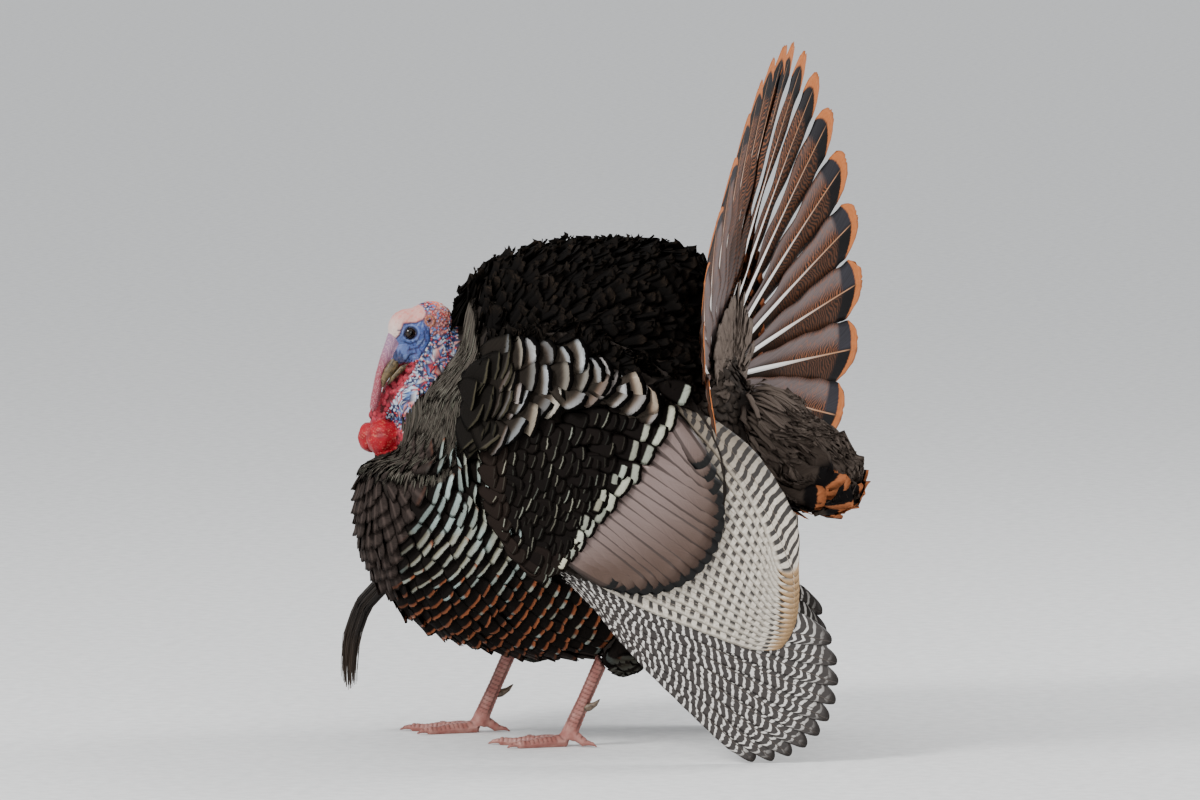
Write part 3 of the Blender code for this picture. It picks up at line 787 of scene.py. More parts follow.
drops = surface_points(hackle_ground, (-0.26, -0.15, 0.315), (-0.105, 0.15, 0.530), DROPS)
front = np.interp(drops[:, 2], *BARE_EDGE)
behind = np.interp(drops[:, 2], (0.33, 0.37, 0.45, 0.53), (-0.150, -0.128, -0.122, -0.140))
front += 0.004 * ease(drops[:, 2], 0.40, 0.44) + 0.002 * rng.normal(size=len(drops))
keep = (drops[:, 0] > front) & (drops[:, 0] < behind)
keep &= (drops[:, 2] > 0.333) & (drops[:, 2] < 0.525)
hackle_roots = scattered(drops, keep, HACKLE_SPACING)
count = len(hackle_roots)
x, y = hackle_roots[:, 0], hackle_roots[:, 1]
hackle_flow = np.stack([0.10 + 1.2 * (x + 0.19), 0.8 * y, -np.ones(count)], 1)
hackle_tones = feather_tones(count, rng.random(count), ease(x, -0.23, -0.16), 1.0)
hackle_places = lay(
    hackle_ground, HAIR_BLANK, hackle_roots, hackle_flow + rng.normal(0, 0.022, (count, 3)),
    rng.uniform(0.042, 0.066, count), rng.uniform(0.0035, 0.0058, count), (0.0005, 0.0040),
    outline=POINTED, hug=False, camber=0.12, roll=0.06
)
print("hackles:", count)

# %% [markdown]
# ## The wings
#
# A strutting gobbler lets its wings droop until the long primaries touch the ground. Each wing
# is laid out as a flat plan, x against z, on a curved sheet that hangs on the flank. Both wings
# use one plan: the right one is drawn in a little, as it is in this pose.

# %% The wing's sheet
RIGHT_FOLD, FOLD_X = 0.83, -0.10
WING_HALF_WIDTH, WIDEST_Z = 0.203, 0.28


def wing_width(x, z):
    above = z - WIDEST_Z
    width = WING_HALF_WIDTH - np.where(x > 0, 0.45, 2.4) * x**2
    width = width - np.where(above > 0, 1.15 * above**2, 0.07 * above)
    return width + 0.001 + 0.012 * np.clip(1 - arm_share(x, z) ** 2, 0, 1)


class WingGround:
    """The left wing's sheet, with the arm's swelling, as a ground for feathers."""

    def snap(self, points):
        x, z = points[:, 0], points[:, 2]
        tiny = 0.001
        slope_x = (wing_width(x + tiny, z) - wing_width(x - tiny, z)) / (2 * tiny)
        slope_z = (wing_width(x, z + tiny) - wing_width(x, z - tiny)) / (2 * tiny)
        facing = unit(np.stack([-slope_x, -np.ones(len(x)), -slope_z], 1))
        return np.stack([x, -wing_width(x, z), z], 1), facing


wing = WingGround()


def to_side(places, side):
    """A left wing's points, or the same mirrored and drawn in for the right wing."""
    if side == "left":
        return places
    x, y, z = places[..., 0], places[..., 1], places[..., 2]
    return np.stack([FOLD_X + (x - FOLD_X) * RIGHT_FOLD, -y, z], -1)


wing_meshes = {}


def keep_for_wing(side, part, shape, places, tones):
    """Joins feathers of one wing. The blank's faces are turned over for the mirrored wing."""
    if side == "right":
        shape = shape[0], shape[1][:, ::-1]
    wing_meshes[side, part] = joined(shape, to_side(places, side), tones, GREAT_PATCH)


# %% [markdown]
# The great feathers of the wing are laid out one by one: a root, a droop, a length and a bow.
# From the outside each inner feather lies over the next outer one, so what shows of each is a
# strip of its outer vane, and the bars of neighbouring strips make the wing's ladder pattern.

# %% Lay out primaries and secondaries
PRIMARIES, SECONDARIES = 10, 16
QUILL = ((0, 0.06, 0.18, 0.4, 0.8, 0.93, 1), (0.10, 0.16, 0.6, 0.95, 1.0, 0.93, 0.62))


def primary_line(s):
    """Root x and z, droop, length and bow: s is 0 for the innermost and 1 for the leading one."""
    return (-0.020 + 0.045 * s, 0.222 - 0.040 * s, math.radians(14.8 + 28.2 * s),
            0.332 + 0.075 * s - 0.145 * s * s, 0.0)


def secondary_line(s):
    """s is 0 beside the primaries and 1 at the back of the body."""
    return (0.115 * s, 0.225 + 0.185 * s, math.radians(20 + 34 * s), 0.264 - 0.018 * s, 0.027 * s)


def quills(lines, half_widths, outs, tilt, webs):
    """Places for long feathers on the wing's sheet. webs are the outer and inner vanes' shares."""
    across, along, side = GREAT_BLANK[0].T
    across = np.sign(across) * np.abs(across) ** 1.5  # more columns near the shaft
    places = []
    for line, half, out in zip(lines, half_widths, outs):
        x, z, droop, length, bow = line
        ahead = np.array((math.cos(droop), -math.sin(droop)))
        over = np.array((math.sin(droop), math.cos(droop)))
        share = np.where(across > 0, webs[1], webs[0])
        width = half * share * np.interp(along, *QUILL)
        width = width * (1 + 0.02 * np.sin(along * 60 + rng.random() * 6) * ease(along, 0.3, 0.5))
        reach = length * (along - 0.05 * np.abs(across) ** 2.4 * ease(along, 0.75, 1))
        offset = bow * 4 * along * (1 - along)
        plan = np.array((x, z)) + reach[:, None] * ahead + (across * width + offset)[:, None] * over
        plan[:, 1] = np.maximum(plan[:, 1], 0.0008)
        near, facing = wing.snap(np.stack([plan[:, 0], plan[:, 0] * 0, plan[:, 1]], 1))
        shaft = np.clip(1 - np.abs(across) / 0.045, 0, 1) * (0.0017 - 0.0013 * along)
        lift = out - 0.001 - 0.012 * np.clip(1 - arm_share(plan[:, 0], plan[:, 1]) ** 2, 0, 1)
        lift = lift - tilt * across * np.interp(along, (0, 0.2, 1), (0.3, 1, 1))
        places.append(near + facing * (lift + side * (0.0003 + shaft))[:, None])
    return np.array(places)


for side in SIDES:
    s = np.linspace(0, 1, PRIMARIES)
    lines = [primary_line(v) for v in s]
    places = quills(lines, 0.020 - 0.003 * s, -0.0062 - 0.0035 * s, 0.0011, (0.62, 1.25))
    tones = feather_tones(PRIMARIES, 0.0, 1.0, [line[3] for line in lines])
    keep_for_wing(side, "primaries", GREAT_BLANK, places, tones)
    s = np.linspace(0, 1, SECONDARIES)
    lines = [secondary_line(v) for v in s]
    places = quills(lines, 0.0195 + 0 * s, -0.0050 + 0.0030 * s, 0.0010, (0.95, 1.05))
    tones = feather_tones(SECONDARIES, s, 1.0, [line[3] for line in lines])
    keep_for_wing(side, "secondaries", GREAT_BLANK, places, tones)
print("great feathers of each wing:", PRIMARIES + SECONDARIES)

# %% [markdown]
# Over their roots lie the coverts. They are planned between two lines on the wing: its front
# edge, and the row of roots from which the copper panel spreads.

# %% Lay out the coverts
PANEL_MIDDLE, PANEL_REACH = (0.100, 0.275), 0.081
ROW_EDGE = ((0, 0.33, 0.72, 1), (0.1416, 0.0971, 0.0445, 0.0129), (0.413, 0.335, 0.272, 0.229))
FRONT_EDGE = ((0, 0.4, 0.75, 1), (-0.086, -0.080, -0.058, -0.020), (0.352, 0.294, 0.240, 0.206))


def on_edge(edge, share):
    return np.stack([np.interp(share, edge[0], edge[1]), np.interp(share, edge[0], edge[2])], -1)


def between(front_share, down):
    """A place on the wing's plan: 0 at the front edge and 1 at the panel, and how far down."""
    first, last = on_edge(FRONT_EDGE, down), on_edge(ROW_EDGE, down)
    return first + (last - first) * np.asarray(front_share)[..., None]


def lay_on_wing(tips, ahead, length, width, lift, **shape):
    """Lays feathers on the wing's sheet from where their tips are and point to on its plan."""
    roots = tips - ahead * length[:, None]
    at = np.stack([roots[:, 0], roots[:, 0] * 0, roots[:, 1]], 1)
    flow = np.stack([ahead[:, 0], ahead[:, 0] * 0, ahead[:, 1]], 1)
    return lay(wing, BROAD_BLANK, at, flow, length, width, lift, **shape)


def heading(degrees):
    turn = np.radians(degrees)
    return np.stack([np.cos(turn), np.sin(turn)], -1)


# %% [markdown]
# The greater coverts fan out from that row, so their tips make the panel's rounded black edge.

# %% Plan the copper panel
GREATER = 18
PANEL_TUCK = 0.020  # how far their roots reach in under the smaller ones
down = np.linspace(0.13, 1.0, GREATER)
panel_roots = on_edge(ROW_EDGE, down)
tip_angle = np.radians(46 - 164 * np.linspace(0, 1, GREATER) ** 0.95)
panel_tips = np.stack([PANEL_MIDDLE[0] + PANEL_REACH * np.cos(tip_angle),
                       PANEL_MIDDLE[1] + PANEL_REACH * np.sin(tip_angle)], 1)
panel_ahead = unit(panel_tips - panel_roots)
panel_length = np.linalg.norm(panel_tips - panel_roots, axis=1) + PANEL_TUCK

# %% [markdown]
# Between the front edge and the panel lie rows of smaller, darker feathers. The last rows are
# farther apart, so two are left out there.

# %% Plan the smaller coverts: tip x and z, direction, how near the panel, and how far down
COVERT_ROWS, COVERTS_IN_ROW, LEFT_OUT = 18, 11, (14, 16)
rows = []
for k in range(COVERT_ROWS):
    share = (k + 1) / COVERT_ROWS
    if k in LEFT_OUT:
        continue
    for i in range(COVERTS_IN_ROW):
        v = (i + 0.5 * (k % 4 > 1) + 0.12 * rng.normal()) / (COVERTS_IN_ROW - 0.5)
        if v > 0.62 and k % 2 and k < 13:
            continue  # the rows run together towards the wing's lower front
        tip = between(share, min(max(v, 0), 1))
        rows.append((*tip, -12 - 10 * v + 5 * rng.normal(), share, v))
lesser = np.array(rows)

# %% [markdown]
# The scapulars lie over the shoulder in upright rows of broad feathers, between two lines of the
# plan. The late rows turn from pointing up to pointing down.

# %% Plan the scapulars: tip x and z, direction, how late the row is, and its x
SHOULDER_TOP = ((-0.145, -0.087, -0.054, -0.026, 0.025, 0.057, 0.089, 0.125),
                (0.390, 0.425, 0.466, 0.480, 0.478, 0.457, 0.432, 0.418))
SHOULDER_FOOT = ((-0.145, -0.116, -0.078, -0.030, 0.005, 0.033, 0.068, 0.125),
                 (0.362, 0.352, 0.338, 0.352, 0.373, 0.392, 0.400, 0.382))
SHOULDER_START, SHOULDER_END, SCAPULAR_SPACING = -0.092, 0.125, 0.034
rows = []
x = SHOULDER_START
while x < SHOULDER_END:
    late = float(ease(x, -0.070, -0.030))
    top, foot = np.interp(x, *SHOULDER_TOP), np.interp(x, *SHOULDER_FOOT)
    many = max(2, round((top - foot) / SCAPULAR_SPACING))
    for i in range(many):
        v = (i + rng.uniform(0.3, 0.7)) / many
        z = top + (foot - top) * v - 0.002
        turn = (34 - 78 * v) * late + (-16 - 16 * v) * (1 - late)
        rows.append((x + 0.003 * rng.normal(), z, turn + 5 * rng.normal(), late, x))
    x += 0.0075 + 0.0095 * late
scapular = np.array(rows)

# %% [markdown]
# Both wings get the same plan, but each has its own small differences between feathers.

# %% Lay every covert on both wings
PANEL_FEATHER = 0.0255  # its width
for side in SIDES:
    places = lay_on_wing(panel_tips, panel_ahead, panel_length, np.full(GREATER, PANEL_FEATHER),
                         (0.0015, 0.0042), rounding=0.05, camber=0.05, roll=0.01)
    tones = feather_tones(GREATER, np.linspace(0, 1, GREATER), 0.0, panel_length)
    keep_for_wing(side, "panel", BROAD_BLANK, places, tones)

    n = len(lesser)
    near_panel = ease(lesser[:, 3], 0.78, 0.93)
    places = lay_on_wing(lesser[:, :2], heading(lesser[:, 2]), 0.034 + 0.008 * near_panel,
                         rng.uniform(0.019, 0.026, n) + 0.005 * near_panel, (0.001, 0.0060),
                         rounding=0.07, roll=0.06, fray=0.04)
    bright = 0.02 + 0.50 * rng.random(n) ** 4 + 0.95 * near_panel * rng.uniform(0.45, 1, n)
    brown = 0.10 * rng.random(n) + 0.5 * (lesser[:, 3] < 0.12) + 0.3 * (lesser[:, 4] > 0.9)
    tones = feather_tones(n, brown, np.minimum(bright, 1), 0.845 - 0.175 * near_panel)
    keep_for_wing(side, "coverts", BROAD_BLANK, places, tones)

    n = len(scapular)
    late = scapular[:, 3]
    places = lay_on_wing(scapular[:, :2], heading(scapular[:, 2]), rng.uniform(0.046, 0.056, n),
                         0.034 - 0.004 * late + rng.uniform(0.004, 0.014, n), (0.002, 0.0105),
                         rounding=0.10, roll=0.10, curl=0.002, fray=0.05)
    light = late * (0.25 + 0.75 * rng.random(n) ** 0.7)
    brown = 0.9 * rng.random(n) ** 3 + 0.3 * ease(scapular[:, 4], 0.06, 0.11)
    start = 0.835 - late * rng.uniform(0.09, 0.23, n)
    tones = feather_tones(n, brown, 0.12 + 0.86 * light, start)
    keep_for_wing(side, "scapulars", BROAD_BLANK, places, tones)
print("coverts:", len(lesser), "scapulars:", len(scapular))

# %% [markdown]
# ## The tail
#
# Eighteen great feathers stand in a fan that leans back, and their halves sweep back a little.
# The fan is a curved sheet again: a place on it is an angle from straight up and a reach from
# the root. Each feather's shaft stands out as a ridge, and its inner vane curls back.

# %% Lay out the fan
FAN_ROOT = np.array((0.1357, 0.0, 0.417))
FAN_LENGTH, FAN_STEP, FAN_PER_SIDE = 0.397, math.radians(12), 9
FAN_LEAN, FAN_SWEEP, FAN_TWIST = math.radians(9.8), math.radians(6.4), math.radians(5.2)
FAN_LEFT_SHARE, FAN_LEFT_BACK = 0.90, math.radians(6.2)
FAN_LEFT_TURN = (math.radians(62), math.radians(28), 1.6)
FAN_BEND, FAN_MIDDLE, FAN_CURL = 0.020, 0.0060, 0.0075
FAN_FEATHER_HALF = 0.0375  # half of one feather's width
FAN_QUILL = ((0, 0.10, 0.25, 0.5, 0.8, 0.95, 1), (0.08, 0.14, 0.45, 0.77, 1.0, 0.98, 0.80))


def fan_points(angle, reach, forward):
    """Points of the fan: angle from straight up, positive to the bird's right."""
    angle = np.where(angle < 0, angle * FAN_LEFT_SHARE, angle)
    sine, cosine = np.sin(angle), np.cos(angle)
    start, over, power = FAN_LEFT_TURN
    sweep = (FAN_SWEEP + FAN_TWIST * sine) * np.abs(sine) ** 1.5
    sweep = sweep + FAN_LEFT_BACK * np.maximum(0.0, (-angle - start) / over) ** power
    swept = np.abs(sine) * np.sin(sweep) * reach + FAN_BEND * (reach / FAN_LENGTH) ** 2
    lean = np.array((math.sin(FAN_LEAN), 0, math.cos(FAN_LEAN)))
    ahead = np.array((-math.cos(FAN_LEAN), 0, math.sin(FAN_LEAN)))
    point = FAN_ROOT + (cosine * reach)[..., None] * lean + forward[..., None] * ahead
    return point + np.stack([swept, sine * np.cos(sweep) * reach, 0 * reach], -1)


def fan_feathers(angles, length, half_width, middle, curl, start=0.012, ragged=0.004,
                 shape=GREAT_BLANK):
    """Places for feathers of the fan. middle is how far before the fan's back each one lies."""
    across, along, side = shape[0].T
    starts = np.broadcast_to(start, len(angles))
    fine = np.sign(across) * np.abs(across) ** 1.5
    places = []
    for angle, long, half, before, start in zip(angles, length, half_width, middle, starts):
        outward = 1.0 if angle > 0 else -1.0
        width = half * np.interp(along, *FAN_QUILL)
        width = width * (1 + 0.025 * np.sin(along * 41 + rng.random() * 6) * ease(along, 0.25, 0.4))
        tip = 0.048 * np.abs(fine) ** 2.6 * ease(along, 0.8, 1)
        fray = ragged * rng.random(len(along)) ** 2 * (along > 0.995)
        reach = start + (long - start) * (along - tip) - fray
        turn = angle + fine * width / np.maximum(reach, 0.02)
        inner = -fine * outward  # 1 at the edge towards the middle of the fan
        wave = 1 + 0.35 * np.sin(along * 23 + rng.random() * 6)
        bend = np.interp(along, (0, 0.2, 0.5, 0.9, 1), (0.2, 0.8, 1.0, 0.6, 0.4)) * wave
        forward = before - curl * bend * np.where(inner > 0, inner**2, -0.7 * inner**2)
        shaft = np.clip(1 - np.abs(fine) * width / 0.0032, 0, 1) * (0.0030 - 0.0026 * along)
        forward = forward * np.interp(along, (0, 1), (1.0, 0.45)) + side * (0.0003 + shaft)
        places.append(fan_points(turn, reach, forward))
    return np.array(places)


half_fan = (np.arange(FAN_PER_SIDE) + 0.35) * FAN_STEP
fan_angles = np.concatenate([-half_fan[::-1], half_fan])
flat = np.ones(len(fan_angles))
fan_places = fan_feathers(
    fan_angles, FAN_LENGTH * flat, FAN_FEATHER_HALF * flat, FAN_MIDDLE * flat, FAN_CURL
)
face = np.where(GREAT_BLANK[0][:, 2] < 0, 0.0, 1.0)  # 0 on the side that looks backwards
on_right = np.sign(fan_angles) * 0.5 + 0.5
fan_tones = np.stack(np.broadcast_arrays(
    on_right[:, None], np.abs(fan_angles)[:, None] / fan_angles.max(),
    rng.random((len(fan_angles), 1)), face[None]
), -1)
FAN_PATCH = 0.02
fan_roots = np.stack([flat * 0.14, fan_angles * 0.1, 0.42 + 0 * flat], 1)
fan_mesh = joined(GREAT_BLANK, fan_places, fan_tones, FAN_PATCH, fan_roots)
print("tail feathers:", len(fan_angles))

# %% [markdown]
# Four rows of coverts lie on the front of the fan, each shorter than the one behind it.

# %% Lay out the coverts of the tail
TAIL_COVERT_ROWS = ((0.205, 21), (0.170, 20), (0.135, 17), (0.100, 13))  # reach, how many
rows = []
for k, (reach, many) in enumerate(TAIL_COVERT_ROWS):
    for i in range(many):
        angle = (i - (many - 1) / 2) * math.radians(9.6) * (1.0 + 0.05 * k)
        rows.append((angle, reach * (1 - 0.3 * math.sin(angle) ** 2), 0.0125 + 0.0022 * k, k))
tail_coverts = np.array(rows)
places = fan_feathers(tail_coverts[:, 0], tail_coverts[:, 1], 0.021 + 0 * tail_coverts[:, 0],
                      tail_coverts[:, 2], -0.0015, start=0.03, ragged=0.003)
tones = feather_tones(len(rows), tail_coverts[:, 3] / 3, 1, 1)
tail_covert_mesh = joined(GREAT_BLANK, places, tones, GREAT_PATCH)
print("tail coverts:", len(rows))

# %% [markdown]
# Behind the fan its root is hidden by grey-brown down, in rings that shrink outwards.

# %% Set the down of the rump
RUMP_RINGS = ((0.002, 30), (0.012, 32), (0.024, 32), (0.036, 30), (0.048, 24), (0.060, 16), (0.072, 9))
rows = [
    (angle, start, ring)
    for ring, (start, many) in enumerate(RUMP_RINGS)
    for angle in np.radians(rng.uniform(-104, 104, many)) * (1 - 0.05 * ring)
]
rump = np.array(rows)
count = len(rump)
length, half_width = rng.uniform(0.034, 0.052, count), rng.uniform(0.010, 0.015, count)
places = fan_feathers(rump[:, 0], rump[:, 1] + length, half_width, -0.016 + 0.0016 * rump[:, 2],
                      0.004, start=rump[:, 1], ragged=0.010, shape=SMALL_BLANK)
rump_mesh = joined(SMALL_BLANK, places, feather_tones(count, 0.0, 1.0, 1.0))
print("rump:", count)

# %% [markdown]
# Under the tail the coverts are long, soft and hair-like. They are laid on the melted shape of
# that part in rings, from the trunk outwards.

# %% Lay the soft coverts under the tail
vent = Ground(ground_of(["undertail_coverts"], 0.005, 8, 0.010))
VENT_MIDDLE, VENT_AXIS = np.array((0.215, 0, 0.348)), unit(np.array((0.86, 0, -0.50)))
VENT_UP = unit(np.array((0.5, 0, 0.86)))


def ringed(ground, middle, axis, turns, many, start_reach=0.3):
    """Roots where rays from the middle leave the ground, in rings about an axis."""
    across = unit(np.cross(axis, (0, 1, 0)))
    over = np.cross(axis, across)
    roots = []
    for k, turn in enumerate(turns):
        for i in range(many[k]):
            spin = math.tau * (i + 0.5 * (k % 2)) / many[k]
            beside = math.cos(spin) * across + math.sin(spin) * over
            ray = math.cos(turn) * axis + math.sin(turn) * beside
            hit = ground.ray(middle + ray * start_reach, -ray)
            if hit is not None:
                roots.append(hit)
    return np.array(roots)


vent_turns = np.radians(np.linspace(162, 26, 24))
vent_counts = [round(66 * math.sin(turn) + 10) for turn in vent_turns]
vent_roots = ringed(vent, VENT_MIDDLE, VENT_AXIS, vent_turns, vent_counts)
count = len(vent_roots)
vent_out = unit(vent_roots - VENT_MIDDLE)
vent_flow = np.tile(VENT_AXIS, (count, 1)) + vent_out * 0.25 + rng.normal(0, 0.13, (count, 3))
vent_places = lay(vent, SMALL_BLANK, vent_roots, vent_flow, rng.uniform(0.045, 0.075, count),
                  rng.uniform(0.004, 0.010, count), (0.001, 0.0095), outline=POINTED, curl=0.003,
                  roll=0.15, hug=False, fray=0.20)
upper = ease((vent_roots - VENT_MIDDLE) @ VENT_UP, -0.02, 0.045)
early = ease((vent_roots - VENT_MIDDLE) @ VENT_AXIS, 0.05, -0.03)
vent_tones = feather_tones(count, 0.0, np.maximum(upper * 0.95, early * 0.7), 1.0)
print("under the tail:", count)

# %% [markdown]
# The longest ones reach out from under the rest, with a black band and a chestnut tip.

# %% Lay the long coverts under the tail
long_roots = ringed(vent, VENT_MIDDLE, VENT_AXIS, np.radians((76, 54, 34)), (15, 11, 7))
long_roots = long_roots[(long_roots - VENT_MIDDLE) @ VENT_UP < 0.022]
count = len(long_roots)
long_flow = np.tile(VENT_AXIS, (count, 1)) + unit(long_roots - VENT_MIDDLE) * 0.35
long_flow = long_flow + rng.normal(0, 0.12, (count, 3))
long_places = lay(vent, BROAD_BLANK, long_roots, long_flow, rng.uniform(0.054, 0.076, count),
                  rng.uniform(0.030, 0.042, count), (0.004, 0.0140), curl=0.004, roll=0.12, hug=False,
                  fray=0.05)
long_tones = feather_tones(count, 1.0, 0.15, 1.0)
print("long ones:", count)

# %% [markdown]
# Round them the rear of the trunk is covered by plain feathers that run in towards the vent. The
# mantle's last rows join this piece, so that neither piece is too heavy.

# %% Lay the feathers of the rear
REAR_MIDDLE, MANTLE_END = np.array((0.030, 0, 0.350)), 0.06
rear_turns = np.radians(np.linspace(3, 78, 24))
rear_counts = [round(54 * math.sin(turn) + 5) for turn in rear_turns]
rear_roots = ringed(trunk, REAR_MIDDLE, np.array((1.0, 0, 0)), rear_turns, rear_counts, 0.4)
rear_roots = rear_roots[(rear_roots[:, 0] > 0.075) & (rear_roots[:, 2] < 0.475)]
clear_of_wing = arm_share(rear_roots[:, 0], rear_roots[:, 2]) > 1.02
rear_roots = rear_roots[clear_of_wing | (np.abs(rear_roots[:, 1]) < 0.150)]
rear_flow = unit(VENT_MIDDLE - rear_roots) + np.array((0.5, 0, -0.35))
rear_flow = rear_flow + rng.normal(0, 0.08, rear_roots.shape)
count = len(rear_roots)
rear_places = lay(trunk, SMALL_BLANK, rear_roots, rear_flow, rng.uniform(0.028, 0.040, count),
                  rng.uniform(0.014, 0.021, count), (0.001, 0.0075), rounding=0.10, roll=0.12, fray=0.12)
rear_tones = feather_tones(count, 0.25, 0.6, 0.8)
last = mantle_places[:, 0, 0] > MANTLE_END
rear_places = np.concatenate([rear_places, mantle_places[last]])
rear_tones = np.concatenate([rear_tones, mantle_tones[last]])
mantle_places, mantle_tones = mantle_places[~last], mantle_tones[~last]
print("rear feathers:", count)

# %% [markdown]
# Below the belly the thighs are covered down to the bare shanks.

# %% Lay the feathers of the thighs
THIGH_TURNS, THIGH_COUNTS = np.radians(np.linspace(100, 15, 6)), (18, 18, 17, 14, 11, 6)
DOWNWARDS = np.array((0.0, 0.0, -1.0))
thigh_meshes = {}
for side in SIDES:
    thigh = Ground(ground_of([f"thigh_{side}"], 0.005, 6, 0.007))
    low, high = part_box(f"thigh_{side}")
    middle = np.array((low + high) / 2 - SHIFT)
    roots = ringed(thigh, middle, DOWNWARDS, THIGH_TURNS, THIGH_COUNTS, 0.2)
    count = len(roots)
    places = lay(thigh, SMALL_BLANK, roots, np.tile((0.15, 0, -1.0), (count, 1)),
                 rng.uniform(0.034, 0.046, count), rng.uniform(0.020, 0.028, count), (0.001, 0.0065))
    thigh_meshes[side] = joined(SMALL_BLANK, places, feather_tones(count, 0.1, 0.12, 0.75))
print("feathers of each thigh:", count)

# %% [markdown]
# # Finishes
#
# A turkey's contour feather is black at its base, then bright bronze, green or copper, and black
# again at its tip. The bright part is iridescent, so it is a little metallic and less rough.
# The edges of the bands follow the barbs, which slant away from the shaft.

# %% Contour feathers
BLACK = (0.0040, 0.0035, 0.0034)


def barbs(finish, chance, across, along, count=22.0):
    """Streaks that slant from the shaft as barbs do: 0 to 1."""
    slant = along * count - across.abs() * count * 0.28
    return finish.noise(finish.join(slant, across * 0.7, chance * 40.0), 1.6, 3.0)


def contour_finish():
    finish = Finish("contour_feather", 0.5, Specular_IOR_Level=0.01)
    warm, strength, chance, start = finish.tone()
    across, along = finish.vane()
    streak = barbs(finish, chance, across, along)
    ragged = along + (streak - 0.5) * 0.05
    into = (ragged - start) / (0.93 - start)
    # The bands are the feather's own iridescent colour. Their soft start, and the rise of silver and
    # copper from dim to pale towards the tip, are painted sheen of the curved tip.
    band = into.rise(0.0, 0.22) * into.rise(1.04, 0.92) * strength
    silver = finish.mix(into.rise(0.0, 0.8), (0.15, 0.135, 0.085), (0.40, 0.41, 0.34))
    greenish = finish.noise(finish.place(), 18.0).rise(0.42, 0.62)
    cool = finish.mix(greenish, silver, (0.36, 0.45, 0.42))
    copper = finish.mix(into.rise(0.1, 0.9), (0.12, 0.030, 0.012), (0.40, 0.125, 0.050))
    turning = (warm + across * 0.42 + (chance - 0.5) * 0.5).rise(0.42, 0.62)
    light = finish.mix(turning, cool, copper)
    light = finish.mix(across.abs().rise(0.72, 0.98) * 0.7, light, (0.03, 0.025, 0.02))
    light = finish.mix(streak.rise(0.30, 0.75) * 0.35, light, (0.05, 0.045, 0.04))
    plain = warm * (1.0 - strength * 2.5).rise(0.0, 1.0)
    dark = finish.mix(streak * 0.25, BLACK, (0.030, 0.022, 0.017))
    # On plain feathers the black is lifted to brown along the streaks, most near the shaft: this brown
    # is painted sheen, brightest along the shaft.
    browned = plain * (streak * 0.7 + across.abs().rise(0.3, 0.0) * 0.5)
    dark = finish.mix(browned, dark, (0.062, 0.046, 0.040))
    finish.colour(band, dark, light)
    finish.set("Roughness", 0.60 - band * 0.22)
    finish.set("Metallic", band * 0.30)
    finish.bump(streak, 0.0006, 0.5)
    return finish


# %% [markdown]
# The mantle is the same black, but soft: no bands, only a faint painted brown sheen on some tips.

# %% Mantle feathers and hackles
def mantle_finish():
    finish = Finish("mantle_feather", 0.7, Specular_IOR_Level=0.03)
    downy, brown_sheen, chance, _ = finish.tone()
    across, along = finish.vane()
    streak = barbs(finish, chance, across, along, 16.0)
    # A faint brown sheen is painted near the tips of some feathers.
    brown = along.rise(0.55, 0.9) * along.rise(1.0, 0.93) * brown_sheen * streak.rise(0.3, 0.8)
    black = finish.mix(brown * 0.55, (0.0045, 0.0038, 0.0034), (0.060, 0.040, 0.026))
    down = finish.mix(streak, (0.050, 0.038, 0.031), (0.150, 0.118, 0.098))
    finish.colour(downy, black, down)
    finish.bump(streak, 0.0005, 0.5)
    return finish


def hackle_finish():
    """Hair-like neck feathers: dark down the middle, with pale grey-green or buff edges."""
    finish = Finish("hackle", 0.5, Specular_IOR_Level=0.06)
    brown, pale, chance, _ = finish.tone()
    across, along = finish.vane()
    edge = across.abs().rise(0.35, 0.85) * along.rise(0.1, 0.4)
    grey = finish.mix(chance, (0.080, 0.067, 0.054), (0.026, 0.022, 0.018))
    buff = finish.mix(brown, (0.36, 0.33, 0.27), (0.26, 0.27, 0.20))
    light = edge * (0.30 + pale * 0.45) * (chance * 1.3).rise(0.25, 0.9)
    tip = along.rise(0.86, 1.0) * 0.7
    colour = finish.mix(light, grey, buff)
    finish.colour(tip, colour, (0.02, 0.017, 0.014))
    finish.bump(barbs(finish, chance, across, along, 12.0), 0.0004, 0.4)
    return finish


# %% [markdown]
# The scapulars are grey-brown with a broad pale band before a thin black edge, and the band is
# silvery on some feathers, cream or pink on others. The lesser coverts are nearly black, with a
# thin pale streak that becomes a short cream-green bar in the last rows before the panel.

